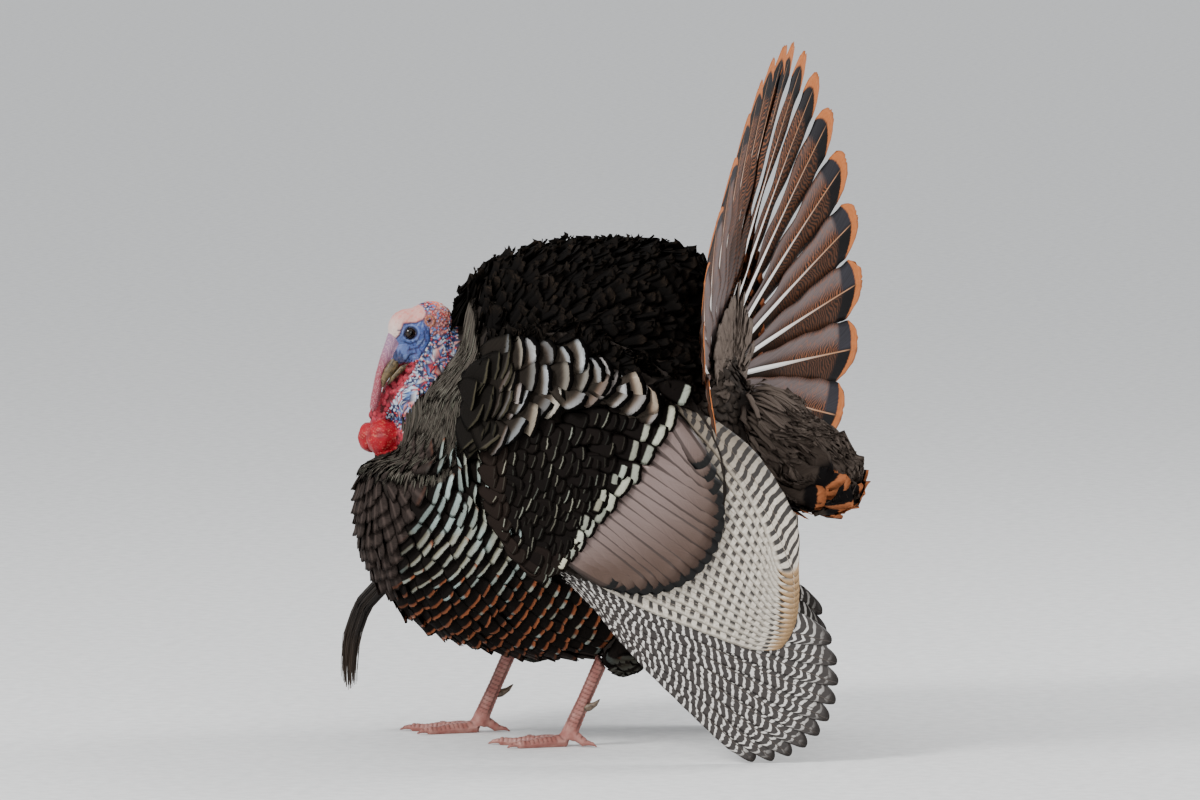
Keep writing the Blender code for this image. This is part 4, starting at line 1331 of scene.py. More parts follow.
# %% Scapulars and coverts
def scapular_finish():
    finish = Finish("scapular", 0.5, Specular_IOR_Level=0.01)
    brown, strength, chance, start = finish.tone()
    across, along = finish.vane()
    streak = barbs(finish, chance, across, along)
    ragged = along + (streak - 0.5) * 0.04 + across.abs() * 0.035
    into = (ragged - start) / (0.89 - start)
    dim = (strength - 0.1) * 1.1
    # The pale band is the feather's own colour. Its soft start, and its rise from dark brown to pale
    # towards the tip, are painted sheen of the curved tip.
    band = into.rise(-0.25, 0.45) * into.rise(1.03, 0.97) * dim
    tint = finish.noise(finish.join(chance * 60.0, 0.0, 0.0), 1.0, 0.0)
    pale = finish.mix(tint.rise(0.40, 0.50), (0.40, 0.35, 0.27), (0.34, 0.36, 0.37))
    pale = finish.mix(into.rise(0.0, 0.8), (0.10, 0.080, 0.060), pale)
    pale = finish.mix(brown * 0.8, pale, (0.34, 0.20, 0.13))
    pale = finish.mix(streak.rise(0.35, 0.75) * 0.35, pale, (0.10, 0.085, 0.07))
    grey = finish.mix(streak, (0.014, 0.011, 0.009), (0.050, 0.040, 0.031))
    grey = finish.mix(strength, (0.005, 0.0045, 0.004), grey)
    edge = into.rise(0.98, 1.06)
    colour = finish.mix(edge, finish.mix(band, grey, pale), BLACK)
    olive = ragged.rise(0.85, 0.92) * ragged.rise(0.975, 0.955) * (1.0 - strength * 2.6).rise(0.0, 0.4)
    finish.colour(olive * (0.15 + chance * 0.6), colour, (0.075, 0.066, 0.042))
    finish.set("Roughness", 0.58 - band * 0.18)
    finish.set("Metallic", band * 0.15)
    finish.bump(streak, 0.0006, 0.5)
    return finish


def covert_finish():
    finish = Finish("covert", 0.5, Specular_IOR_Level=0.01)
    brown, strength, chance, start = finish.tone()
    across, along = finish.vane()
    streak = barbs(finish, chance, across, along)
    middle = (across + (chance - 0.5) * 0.5).abs()
    ragged = along + (streak - 0.5) * 0.05
    into = (ragged - start) / (0.90 - start)
    width = 0.66 + strength * 0.30
    bar = into.rise(0.0, 0.25) * into.rise(1.04, 0.92) * (middle - width).rise(0.12, -0.08) * strength
    cream = finish.mix(chance, (0.50, 0.48, 0.36), (0.42, 0.46, 0.38))
    cream = finish.mix(streak.rise(0.35, 0.75) * 0.3, cream, (0.06, 0.05, 0.04))
    dark = finish.mix(streak * 0.4, (0.005, 0.0042, 0.0038), (0.012, 0.009, 0.008))
    dark = finish.mix(brown, dark, (0.022, 0.015, 0.012))
    finish.colour(bar, dark, cream)
    finish.set("Roughness", 0.60 - bar * 0.2)
    finish.bump(streak, 0.0006, 0.5)
    return finish


# %% [markdown]
# The quills of the wing are barred. The bars run straight out from the shaft and waver; they are
# white on the near-black primaries, and cream and much broader on the secondaries, whose outer
# vanes have pale edges. Alpha in a quill's tone is its length in metres, so that every
# feather's bars have one real spacing.

# %% Wing quills
def primary_finish():
    finish = Finish("primary", 0.45, Specular_IOR_Level=0.35)
    _, _, chance, length = finish.tone()
    across, along = finish.vane()
    metres = along * length
    wave = finish.noise(finish.join(metres * 55.0, across * 1.8, chance * 30.0), 1.0, 2.0)
    turn = metres / 0.0102 + (wave - 0.5) * 1.1 - across.abs() * 0.75 + chance
    bar = (turn * math.tau).sin().rise(0.30, 0.72)
    vane = across.abs().rise(0.055, 0.13)
    broken = finish.noise(finish.join(metres * 160.0, across * 5.0, chance * 9.0), 1.0).rise(0.30, 0.42)
    white = bar * vane * broken * along.rise(0.99, 0.90)
    streak = barbs(finish, chance, across, along, 60.0)
    dusk = finish.mix(streak, (0.013, 0.010, 0.009), (0.035, 0.027, 0.023))
    shaft = across.abs().rise(0.05, 0.02)
    colour = finish.mix(white * 0.93, dusk, (0.62, 0.59, 0.55))
    finish.colour(shaft * 0.8, colour, (0.10, 0.075, 0.06))
    finish.bump(barbs(finish, chance, across, along, 90.0), 0.0004, 0.4)
    return finish


def secondary_finish():
    finish = Finish("secondary", 0.5, Specular_IOR_Level=0.3)
    inner, _, chance, length = finish.tone()
    across, along = finish.vane()
    metres = along * length
    wave = finish.noise(finish.join(metres * 60.0, across * 1.5, chance * 30.0), 1.0, 2.0)
    turn = metres / 0.0118 + (wave - 0.5) * 0.7 + across * 0.55 + inner * 3.0
    bar = (turn * math.tau).sin().rise(-0.30, 0.20)
    edge = across.rise(-0.74, -0.93)
    mottle = finish.noise(finish.join(metres * 300.0, across * 9.0, chance * 7.0), 1.0).rise(0.35, 0.65)
    tip = along.rise(0.955, 0.985)
    white = bar.highest(edge * 0.95).highest(tip)
    cream = finish.mix(mottle * 0.55, (0.58, 0.53, 0.45), (0.34, 0.28, 0.21))
    cream = finish.mix(tip, cream, (0.42, 0.26, 0.13))
    browned = finish.mix(inner.rise(0.72, 1.0) * along.rise(0.75, 0.2), cream, (0.19, 0.155, 0.115))
    streak = barbs(finish, chance, across, along, 60.0)
    dusk = finish.mix(streak, (0.016, 0.013, 0.012), (0.040, 0.033, 0.028))
    shaft = across.abs().rise(0.05, 0.02)
    colour = finish.mix(white, dusk, browned)
    finish.colour(shaft * 0.7, colour, (0.16, 0.12, 0.09))
    finish.bump(barbs(finish, chance, across, along, 90.0), 0.0004, 0.4)
    return finish


def panel_finish():
    """Greater coverts: a dull copper-pink that deepens to brown, and a black edge."""
    finish = Finish("copper_covert", 0.42, Specular_IOR_Level=0.35)
    low, _, chance, length = finish.tone()
    across, along = finish.vane()
    streak = barbs(finish, chance, across, along, 34.0)
    from_tip = (1.0 - along) * length + (streak - 0.5) * 0.006 - across.abs() * 0.003
    black = from_tip.rise(0.0088, 0.0068)
    deep = (along + low * 0.40).rise(0.40, 1.05)
    pink = finish.mix(streak, (0.135, 0.093, 0.082), (0.215, 0.160, 0.146))
    brown = finish.mix(streak, (0.050, 0.029, 0.021), (0.092, 0.055, 0.040))
    colour = finish.mix(deep, pink, brown)
    # Dark lines along both edges of each feather are painted shade, where the neighbouring feathers
    # overlap it.
    overlap_shade = across.abs().rise(0.43, 0.55) * along.rise(0.97, 0.85) * 0.75
    colour = finish.mix(overlap_shade, colour, (0.022, 0.013, 0.010))
    finish.colour(black, colour, BLACK)
    finish.set("Metallic", (1.0 - black) * 0.25)
    finish.bump(streak, 0.0005, 0.4)
    return finish


# %% [markdown]
# A tail feather has a chestnut-orange tip, a broad black band, and below that wavy bars of rust
# and black that grey towards the edge. Seen from behind its shaft is cream-white and its free
# edge is pinkish grey; seen from the front it is darker, and mostly covered.

# %% Tail feathers
def rectrix_finish():
    finish = Finish("tail_feather", 0.5, Specular_IOR_Level=0.03)
    half, outwards, chance, front = finish.tone()
    across, along = finish.vane()
    inner = across * (1.0 - half * 2.0)  # 1 at the edge towards the fan's middle
    wave = finish.noise(finish.join(along * 16.0, across * 2.2, chance * 30.0), 1.0, 2.0)
    fine = finish.noise(finish.join(along * 90.0, across * 7.0, chance * 11.0), 1.0, 3.0)
    streak = barbs(finish, chance, across, along, 60.0)
    turn = along * 66.0 + (wave - 0.5) * 4.0 - across.abs() * 3.2
    bar = (turn * math.tau).sin() + (fine - 0.5) * 1.2
    rust = finish.mix(fine, (0.14, 0.046, 0.021), (0.27, 0.100, 0.046))
    barred = finish.mix(bar.rise(-0.35, 0.45), (0.020, 0.014, 0.011), rust)
    shadowed = finish.mix(along.rise(0.30, 0.60) * 0.35, (0.018, 0.011, 0.008), barred)
    free = inner.rise(0.30, 1.0)
    low = outwards.rise(0.15, 0.75)
    pale = (inner.rise(0.10, 0.95) * (along.rise(0.55, 0.15) * 0.7 + low)).highest(free * low * 0.5)
    ash = finish.mix(streak, (0.080, 0.060, 0.057), (0.200, 0.158, 0.152))
    ash = finish.mix(along.rise(0.30, 0.75) * fine.rise(0.5, 0.65) * 0.5, ash, (0.30, 0.12, 0.07))
    brown = finish.mix(bar.rise(0.0, 0.6) * along.rise(0.30, 0.65), (0.022, 0.015, 0.012), rust)
    behind = finish.mix(pale.rise(0.0, 0.9), brown, ash)
    behind = finish.mix(inner.rise(0.06, -0.12), behind, shadowed)
    ahead = finish.mix(0.55, barred, (0.030, 0.017, 0.012))
    colour = finish.mix(front, behind, ahead)
    ragged = along + (streak - 0.5) * 0.014 + across * across * 0.020
    slate = finish.mix(streak, (0.014, 0.013, 0.016), (0.045, 0.043, 0.052))
    slaty = inner.rise(0.0, 0.25) * (1.0 - front) * (low * 0.8 + 0.2)
    black = finish.mix(slaty, (0.0060, 0.0052, 0.0055), slate)
    colour = finish.mix(ragged.rise(0.850, 0.880), colour, black)
    orange = finish.mix(fine, (0.40, 0.105, 0.026), (0.56, 0.195, 0.064))
    colour = finish.mix(ragged.rise(0.946, 0.958), colour, orange)
    width = 0.060 + along.rise(0.85, 0.05) * 0.30
    shaft = (across.abs() - width).rise(0.02, -0.02) * along.rise(0.97, 0.90) * (1.0 - front * 0.9)
    quill = finish.mix(along.rise(0.35, 0.85), (0.84, 0.82, 0.79), (0.42, 0.22, 0.12))
    finish.colour(shaft, colour, quill)
    finish.bump(streak, 0.0005, 0.4)
    return finish


def tail_covert_finish():
    """Glossy bronze with fine black bars, a black band and a chestnut tip."""
    finish = Finish("tail_covert", 0.42, Specular_IOR_Level=0.12)
    _, _, chance, _ = finish.tone()
    across, along = finish.vane()
    streak = barbs(finish, chance, across, along, 40.0)
    bar = ((along * 26.0 + streak * 0.8) * math.tau).sin()
    bronze = finish.mix(bar.rise(-0.4, 0.5), (0.014, 0.009, 0.007), (0.13, 0.058, 0.030))
    ragged = along + (streak - 0.5) * 0.03
    colour = finish.mix(ragged.rise(0.80, 0.84), bronze, BLACK)
    tip = finish.mix(streak, (0.20, 0.050, 0.020), (0.36, 0.12, 0.05))
    finish.colour(ragged.rise(0.905, 0.925), colour, tip)
    finish.set("Metallic", ragged.rise(0.84, 0.78) * 0.35)
    finish.bump(streak, 0.0005, 0.4)
    return finish


def vent_finish():
    """Soft, dark and loose: brown-black with a chestnut band at the tip of the long ones."""
    finish = Finish("undertail_feather", 0.7, Specular_IOR_Level=0.02)
    tipped, downy, chance, _ = finish.tone()
    across, along = finish.vane()
    streak = barbs(finish, chance, across, along, 14.0)
    brown = finish.mix(streak, (0.013, 0.0095, 0.0078), (0.050, 0.037, 0.029))
    down = finish.mix(streak, (0.070, 0.053, 0.043), (0.190, 0.150, 0.125))
    colour = finish.mix(downy, brown, down)
    ragged = along + (streak - 0.5) * 0.08 - across.abs() * 0.03
    chestnut = finish.mix(streak, (0.25, 0.07, 0.025), (0.47, 0.17, 0.07))
    banded = tipped.rise(0.3, 0.6)
    colour = finish.mix(ragged.rise(0.60, 0.68) * banded, colour, (0.007, 0.006, 0.006))
    lit = ragged.rise(0.84, 0.87) * banded * chance.rise(0.05, 0.25)
    finish.colour(lit, colour, chestnut)
    finish.bump(streak, 0.0008, 0.6)
    return finish


# %% [markdown]
# # The head
#
# The head is bare skin in blue, white and red. Its shape is worked on the skin's own points, in
# head axes: lids that hug the eyeball, a ring round the ear, creases as soft grooves, and
# hundreds of beads. Zones of colour are outlined as on a drawing of the head seen from its side.

# %% Measure the head's points
def millimetres(points):
    """Head axes in mm: x along the head (forwards is negative), the distance aside, and height."""
    at = to_head(points) * 1000
    return at[:, 0], np.abs(at[:, 1]), at[:, 2]


def line_gap(x, z, line):
    """How far each point is from a line of (x, z) stops."""
    best = np.full(len(x), 1e9)
    for (x0, z0), (x1, z1) in zip(line, line[1:]):
        dx, dz = x1 - x0, z1 - z0
        share = np.clip(((x - x0) * dx + (z - z0) * dz) / (dx * dx + dz * dz), 0, 1)
        best = np.minimum(best, np.hypot(x - x0 - share * dx, z - z0 - share * dz))
    return best


def inside(x, z, outline, soft):
    """1 inside a closed outline and 0 outside, with a soft edge."""
    odd = np.zeros(len(x), bool)
    ring = outline + outline[:1]
    for (x0, z0), (x1, z1) in zip(ring, ring[1:]):
        if z0 != z1:
            odd ^= ((z0 > z) != (z1 > z)) & (x < x0 + (z - z0) * (x1 - x0) / (z1 - z0))
    gap = line_gap(x, z, ring)
    return ease(np.where(odd, gap, -gap), -soft, soft)


def hill(gap, width):
    return np.exp(-((gap / width) ** 2))


CROWN_EDGE = [(-32.6, 21.5), (-26.9, 22.5), (-14.2, 29.6), (-3.1, 20.8), (6.9, 17.8), (11.7, 19.6)]
NAPE_EDGE = [(11.7, 19.6), (16.2, 28.1), (13.1, 38.8)]
CHEEK_CREASE = [(6.9, 17.8), (2.7, 4.3), (-4.1, -5.0), (-18.6, -10.5), (-27.4, -13.3)]
GAPE = [(-44.0, -6.5), (-33.0, -3.5), (-26.0, -6.5)]
BLUE_FACE = [*CROWN_EDGE[:5], *CHEEK_CREASE[1:], (-36.0, -11.0), (-50.0, -9.0), (-50.0, 6.0),
             (-40.3, 16.0)]
CROWN = [*CROWN_EDGE, *NAPE_EDGE[1:], (13.0, 60.0), (-50.0, 60.0), (-48.0, 20.0)]
THROAT_EDGE = [(-30.0, -13.8), (-41.0, -20.0), (-79.8, -31.5), (-103.0, -41.0), (-125.0, -49.0)]
THROAT = [*THROAT_EDGE, (-140.0, 10.0), (-52.0, 0.0), (-36.0, -11.0)]
EAR = (9.7, 12.1)
CREASES = ((CROWN_EDGE, 1.1, 0.5), (CHEEK_CREASE, 1.2, 0.8), (GAPE, 1.0, 0.8),
           ([(-27, 12), (-24, 6), (-16, 4), (-9, 8)], 0.9, 0.35),
           ([(-24, 28), (-20, 25), (-8, 25)], 0.9, 0.3),
           ([(-30, 2), (-20, -3), (-8, 1), (-3, 8)], 1.1, 0.4))

# %% [markdown]
# ## Sculpt the skin
#
# Points within a lid's width of an eye move onto the eyeball, and those right over it go under
# it, so the eye looks out through an opening with a rounded rim. The rest moves along normals.

# %% Fit the lids to an eye
OPENING, LID = 0.0053, 0.0030


def fit_lids(points):
    at = to_head(points)
    for sign in SIDES.values():
        gap = np.hypot(at[:, 0] - EYE_PLACE.x, (at[:, 2] - EYE_PLACE.z) * 1.12)
        aside = at[:, 1] * sign
        near = (gap < OPENING + LID * 1.6) & (aside > EYE_PLACE.y - 0.001)
        ball = EYE_PLACE.y + np.sqrt(np.maximum(EYE_RADIUS**2 - gap**2, 0))
        rim = ball + 0.0003 + 0.0007 * hill(gap - OPENING - 0.0011, 0.0010)
        share = ease(gap, OPENING + LID * 1.6, OPENING + LID * 0.5)
        moved = aside + (np.maximum(rim, aside) - aside) * share
        moved = np.where(gap < OPENING, np.minimum(aside, ball - 0.0014), moved)
        at[near, 1] = (moved * sign)[near]
    return at @ np.array(HEAD_TURN.to_3x3()).T + np.array(SKULL)


def eye_gap(x, z):
    return np.hypot(x - EYE_PLACE.x * 1000, z - EYE_PLACE.z * 1000)


# %% [markdown]
# Each of the skin's points is told which part it is on and how far inside each zone.

# %% Find the zones of the bare skin
nodes = list(COAT_DEPTH)
skin_points = coords(skin_mesh)
skin_part = np.array(nodes)[nearest_part(skin_points, nodes)]
bare_line = np.interp(skin_points[:, 2], *BARE_EDGE)
is_head = (skin_points[:, 2] > 0.325) & (skin_points[:, 0] < bare_line + 0.012)
is_head &= ~np.isin(skin_part, ["trunk", "undertail_coverts"])
is_head &= to_head(skin_points)[:, 0] < 0.060
hx, hy, hz = millimetres(skin_points)
is_snood = skin_part == "snood"
is_wattle = np.isin(skin_part, ["wattle_left", "wattle_right"])
is_face = is_head & ~is_snood & ~is_wattle
throat = is_face * np.maximum(inside(hx, hz, THROAT, 1.5), ease(hx, -95, -103))
blue = is_face * inside(hx, hz, BLUE_FACE, 0.9)
crown = is_face * inside(hx, hz, CROWN, 1.2)
warty = is_face * (1 - np.maximum(blue, crown))
print("points of the head:", int(is_head.sum()))

# %% [markdown]
# Beads sit at scattered places, fine behind the head and coarse on the throat. Each of the
# face's points is then told its nearest bead, and how far up its round side it is.

# %% Scatter the beads
FINE_BEAD, COARSE_BEAD = 0.0016, 0.0041  # their radii
FINE_APART, COARSE_APART = 0.0033, 0.0066
bead_places = np.concatenate([
    scattered(skin_points, (warty > 0.5) & (throat < 0.5), FINE_APART),
    scattered(skin_points, (warty > 0.5) & (throat >= 0.5), COARSE_APART),
])
bx, _, bz = millimetres(bead_places)
bead_throat = np.maximum(inside(bx, bz, THROAT, 1.0), ease(bx, -95, -103))
bead_radius = np.where(bead_throat > 0.5, COARSE_BEAD, FINE_BEAD)
bead_radius = bead_radius * rng.uniform(0.75, 1.15, len(bead_radius))
bead_tree = KDTree(len(bead_places))
for i, place in enumerate(bead_places):
    bead_tree.insert(place, i)
bead_tree.balance()
nearest = np.zeros(len(skin_points), int)
bead_gap = np.full(len(skin_points), 1.0)
for i in np.flatnonzero(is_face):
    _, nearest[i], bead_gap[i] = bead_tree.find(skin_points[i])
on_bead = np.sqrt(np.clip(1 - (bead_gap / bead_radius[nearest]) ** 2, 0, 1))
bead_height = on_bead * bead_radius[nearest] * 0.50 * ease(warty, 0.3, 0.8)
print("beads:", len(bead_places))

# %% [markdown]
# Then every height is added up: beads, creases, the ring and the hole of the ear, and the fine
# ripples of the face, the snood and the wattles.

# %% Raise and sink the skin
rise = bead_height - 0.0003 * warty
for line, width, depth in CREASES:
    rise -= is_face * hill(line_gap(hx, hz, line), width) * depth / 1000
ear_gap = np.hypot(hx - EAR[0], hz - EAR[1])
rise += is_face * (0.0009 * hill(ear_gap - 5.2, 1.5) - 0.0026 * hill(ear_gap, 1.9))
ripple = np.sin(hx * 0.9 + 2.2 * np.sin(hz * 0.5)) * np.sin(hz * 1.1 + hx * 0.35)
rise += 0.00018 * (blue + crown) * ripple * (eye_gap(hx, hz) > 9.5)
rise += 0.00012 * is_snood * np.sin(hz * 2.1 + hx * 2.1 + np.sin(hy * 1.3))
rise += 0.0007 * is_wattle * np.sin(hx * 0.30 + 1.0 * np.sin(hy * 0.35)) * np.sin(hz * 0.33 + 0.8)
skin_points = fit_lids(skin_points + normals(skin_mesh) * rise[:, None])
skin_mesh.vertices.foreach_set("co", skin_points.ravel())
skin_mesh.update()
print("highest bump, in mm:", round(float(rise.max()) * 1000, 2))

# %% [markdown]
# ## Colour the skin
#
# The colours are painted on the skin's points from the same zones: pinkish white on the crown,
# periwinkle blue round the eye, crimson on the throat, and dark navy behind the face. Under the
# coat the skin is dark.

# %% Paint the face
def paint(colour, weight):
    """Lays a colour over the skin's colours, by a weight for each point."""
    weight = np.clip(weight, 0, 1)[:, None]
    skin_colour[:] = skin_colour * (1 - weight) + np.array(colour) * weight


def patchy(scale, low, high, seed):
    """A random, smooth pattern over the skin, from a few crossed waves."""
    waves = np.random.default_rng(seed).normal(0, scale, (6, 3))
    total = sum(np.sin(skin_points @ wave + 2 * k) for k, wave in enumerate(waves))
    return ease(total, low, high)


DOWN_COLOUR = (0.020, 0.015, 0.012)
skin_colour = np.tile(np.array(DOWN_COLOUR), (len(skin_points), 1))
paint((0.012, 0.018, 0.060), is_head)
paint((0.68, 0.24, 0.17), is_face * ease(skin_points[:, 2], 0.478, 0.486) * ease(hx, 24, 30))
paint((0.55, 0.29, 0.25), crown)
high = ease(hz - np.interp(hx, (-40, -20, 0, 15), (24, 36, 34, 28)), 0, 9)
flush = np.maximum(0.45 * patchy(900, 0.8, 2.2, 1), 0.55 * high * patchy(700, -0.6, 1.4, 7))
paint((0.58, 0.13, 0.11), crown * flush)
paint((0.60, 0.57, 0.52), crown * ease(hx, -8, -30) * 0.6)
paint((0.52, 0.10, 0.08), crown * 0.5 * hill(line_gap(hx, hz, CROWN_EDGE), 1.8))
paint((0.046, 0.082, 0.250), blue)
paint((0.15, 0.21, 0.40), blue * 0.75 * np.maximum(patchy(420, 0.6, 2.0, 2), ease(hx, -16, -34) * 0.5))
paint((0.012, 0.022, 0.100), blue * 0.8 * patchy(520, 1.0, 2.2, 3))
paint((0.015, 0.018, 0.045), blue * ease(hx, -36, -44) * 0.8)
# Dark navy is painted along the creases: painted shade in the folds.
for line, width, depth in CREASES:
    paint((0.010, 0.014, 0.060), is_face * 0.85 * hill(line_gap(hx, hz, line), width * 1.1))
# A dark ring round the eye: partly the lids' own dark skin, partly painted shade round the opening.
lid_ring_and_shade = hill(eye_gap(hx, hz) - 6.6, 1.5)
paint((0.010, 0.010, 0.022), is_face * lid_ring_and_shade * 0.95)
paint((0.16, 0.22, 0.45), is_face * hill(eye_gap(hx, hz) - 9.2, 0.9) * 0.6)
# Near black where the lid meets the eyeball: the lid's dark edge and painted shade in the gap.
paint((0.006, 0.005, 0.006), is_face * ease(eye_gap(hx, hz), 6.2, 5.4))

# %% [markdown]
# Behind the face a bead is white, pale blue, pink or red by chance, and more often pink or red
# near the ear. Those on top are salmon, and those along the throat's edge are bluish.

# %% Paint the beads
PALETTE = np.array([(0.42, 0.44, 0.47), (0.10, 0.19, 0.40), (0.52, 0.22, 0.19), (0.44, 0.035, 0.030)])
PALETTE_ENDS = (0.28, 0.58, 0.82)  # the share of beads up to each colour
bead_pick = rng.random(len(bead_places))
near_ear = ease(np.hypot(bx - 16, bz - 6), 22, 12)
warmer = bead_pick + 0.30 * near_ear * (bead_pick < 0.62)
bead_colour = PALETTE[np.searchsorted(PALETTE_ENDS, warmer)]
top_beads = bz > np.interp(bx, (0, 15, 32), (44, 32, 14))
bead_colour[top_beads & (bead_pick > 0.35)] = (0.58, 0.085, 0.055)
crimson = np.stack([0.24 + 0.16 * bead_pick, 0.014 + 0.02 * bead_pick, 0.030 + 0.02 * bead_pick], 1)
bead_colour = np.where((bead_throat > 0.5)[:, None], crimson, bead_colour)
behind_throat = line_gap(bx, bz, THROAT_EDGE[1:])
bluish = (bead_throat < 0.5) & (behind_throat < 7.0) & (bead_pick < 0.8)
bead_colour[bluish] = (0.46, 0.55, 0.66)
paint((0.085, 0.004, 0.008), throat)
paint((0.30, 0.12, 0.12), warty * ease(np.hypot(hx - 16, hz - 6), 20, 11) * 0.8)
paint_beads = ease(on_bead, 0.48, 0.85) * is_face * ease(warty, 0.3, 0.8)
skin_colour += (bead_colour[nearest] - skin_colour) * paint_beads[:, None]

# %% [markdown]
# The ear, the wattles and the snood come last. The colours are kept on the mesh, and their alpha
# tells bare skin from covered skin.

# %% Paint the ear, the wattles and the snood
paint((0.30, 0.11, 0.06), is_face * hill(ear_gap - 5.0, 1.5))
# The ear's opening is painted near black: painted shade in the hole.
paint((0.010, 0.008, 0.010), is_face * hill(ear_gap, 2.6))
paint((0.31, 0.004, 0.012), is_wattle)
paint((0.17, 0.002, 0.007), is_wattle * 0.7 * patchy(200, 0.2, 1.8, 4))
paint((0.55, 0.16, 0.10), is_wattle * 0.5 * patchy(1100, 2.2, 2.9, 9))
paint((0.24, 0.046, 0.066), is_snood)
paint((0.24, 0.17, 0.27), is_snood * ease(hx, -75, -38) * 0.75)
paint((0.30, 0.015, 0.032), is_snood * ease(hz, -38, -80) * 0.8)
paint((0.58, 0.36, 0.36), is_snood * 0.5 * patchy(3000, 0.6, 2.0, 5))
colour_layer = skin_mesh.attributes.new("SkinColour", "FLOAT_COLOR", "POINT")
painted = np.concatenate([skin_colour, is_head[:, None]], 1)
colour_layer.data.foreach_set("color", painted.astype(np.float32).ravel())
spots = skin_mesh.uv_layers.new(name="OFBake", do_init=False)
corner_points = np.empty(len(skin_mesh.loops), int)
skin_mesh.loops.foreach_get("vertex_index", corner_points)
spots.uv.foreach_set("vector", unwrap(skin_points)[corner_points].astype(np.float32).ravel())


def skin_finish():
    """The painted colours, with pores and fine wrinkles, and a moist shine on bare skin."""
    finish = Finish("bare_skin", 0.5, Specular_IOR_Level=0.20)
    zones, bare = finish.stored_colour("SkinColour")
    pores = finish.noise(finish.place(), 900.0, 3.0)
    blood = finish.noise(finish.place(), 260.0, 2.0)
    colour = finish.mix(blood.rise(0.5, 0.7) * bare * 0.12, zones, (0.20, 0.04, 0.05))
    finish.colour(pores.rise(0.58, 0.75) * bare * 0.18, colour, (0.70, 0.55, 0.45))
    finish.set("Roughness", 0.85 - bare * 0.45 + pores * 0.10)
    finish.bump(pores, 0.0005, 0.45)
    return finish


print("skin points:", len(skin_points))
show(skin_mesh, "skin", skin_finish(), list(COAT_DEPTH))

# %% [markdown]
# ## Eyes and bill
#
# An eye is a ball whose front bulges into a cornea. How far each point is from the line of
# sight is kept as an attribute, and gives the pupil, the brown iris and its dark rim.

# %% Make the eyes
CORNEA_RADIUS, CORNEA_BULGE = 0.0052, 0.0005


def eye_finish():
    finish = Finish("wet_eye", 0.12, Specular_IOR_Level=0.15, Coat_Weight=0.35, Coat_Roughness=0.03)
    gap = finish.stored("Gaze")
    streak = finish.noise(finish.place(), 1400.0, 2.0)
    iris = finish.mix(streak, (0.010, 0.005, 0.003), (0.032, 0.014, 0.007))
    iris = finish.mix(gap.rise(0.0042, 0.0050), iris, (0.006, 0.004, 0.004))
    finish.colour(gap.rise(0.0033, 0.0030), iris, (0.0015, 0.0012, 0.0012))
    return finish


eye_look = eye_finish()
for side, sign in SIDES.items():
    bm = bmesh.new()
    bmesh.ops.create_uvsphere(bm, u_segments=40, v_segments=28, radius=EYE_RADIUS)
    bmesh.ops.rotate(bm, verts=bm.verts, matrix=Matrix.Rotation(math.radians(90), 3, "X"))
    gaze = []
    for vertex in bm.verts:
        gap = math.hypot(vertex.co.x, vertex.co.z)
        outwards = vertex.co.y * sign > 0
        if outwards and gap < CORNEA_RADIUS:
            vertex.co.y += sign * CORNEA_BULGE * (1 - (gap / CORNEA_RADIUS) ** 2)
        gaze.append(gap if outwards else 0.01)
    place = HEAD @ Matrix.Translation((EYE_PLACE.x, EYE_PLACE.y * sign, EYE_PLACE.z))
    bmesh.ops.transform(bm, matrix=place, verts=bm.verts)
    mesh = mesh_from(bm)
    mesh.attributes.new("Gaze", "FLOAT", "POINT").data.foreach_set("value", gaze)
    show(mesh, f"eyeball_{side}", eye_look, [f"eye_{side}"])

# %% [markdown]
# The bill is horn: its two halves are melted smooth, and a nostril is sunk on each side at the
# root of the upper one, where the snood begins.

# %% Make the bill
NOSTRIL = (-46.0, 3.4)


def horn_finish(name, dark, light, along_scale):
    """Layered horn, streaked along its length."""
    finish = Finish(name, 0.38, Specular_IOR_Level=0.4)
    x, y, z = finish.split(finish.place())
    grain = finish.noise(finish.join(x * along_scale, y * 300.0, z * along_scale), 1.0, 3.0)
    mottle = finish.noise(finish.place(), 320.0, 2.0)
    finish.colour((grain * 0.6 + mottle * 0.5).rise(0.35, 0.75), dark, light)
    finish.set("Roughness", 0.32 + mottle * 0.2)
    finish.bump(grain, 0.0004, 0.5)
    return finish


bill_look = horn_finish("bill_horn", (0.022, 0.015, 0.009), (0.17, 0.115, 0.050), 260.0)
for node in ("bill_upper", "bill_lower"):
    mesh = mesh_from(melted([node], 0.0009, 4, 0.0002))
    if node == "bill_upper":
        points = coords(mesh)
        x, y, z = millimetres(points)
        slit = hill(np.hypot((x - NOSTRIL[0]) * 0.45, z - NOSTRIL[1]), 1.1) * (y > 2.5)
        points = points - normals(mesh) * (0.0013 * slit)[:, None]
        mesh.vertices.foreach_set("co", points.ravel())
    show(mesh, node + "_horn", bill_look, [node])

# %% [markdown]
# ## The beard
#
# The beard is a tuft of coarse bristles, each like a thin wire. One bristle is an open tube
# with closed ends, and 260 copies follow the tuft's line, spreading and ending unevenly.

# %% Make the beard
BEARD_LINE = np.array([(-0.225, 0, 0.196), (-0.254, 0, 0.180), (-0.280, 0, 0.152),
                       (-0.293, 0, 0.115), (-0.296, 0, 0.080), (-0.295, 0, 0.050)])
BEARD_RADII = (0.0095, 0.0105, 0.0100, 0.0095, 0.0085, 0.0065)
BRISTLES, BRISTLE_RADIUS = 260, 0.0008


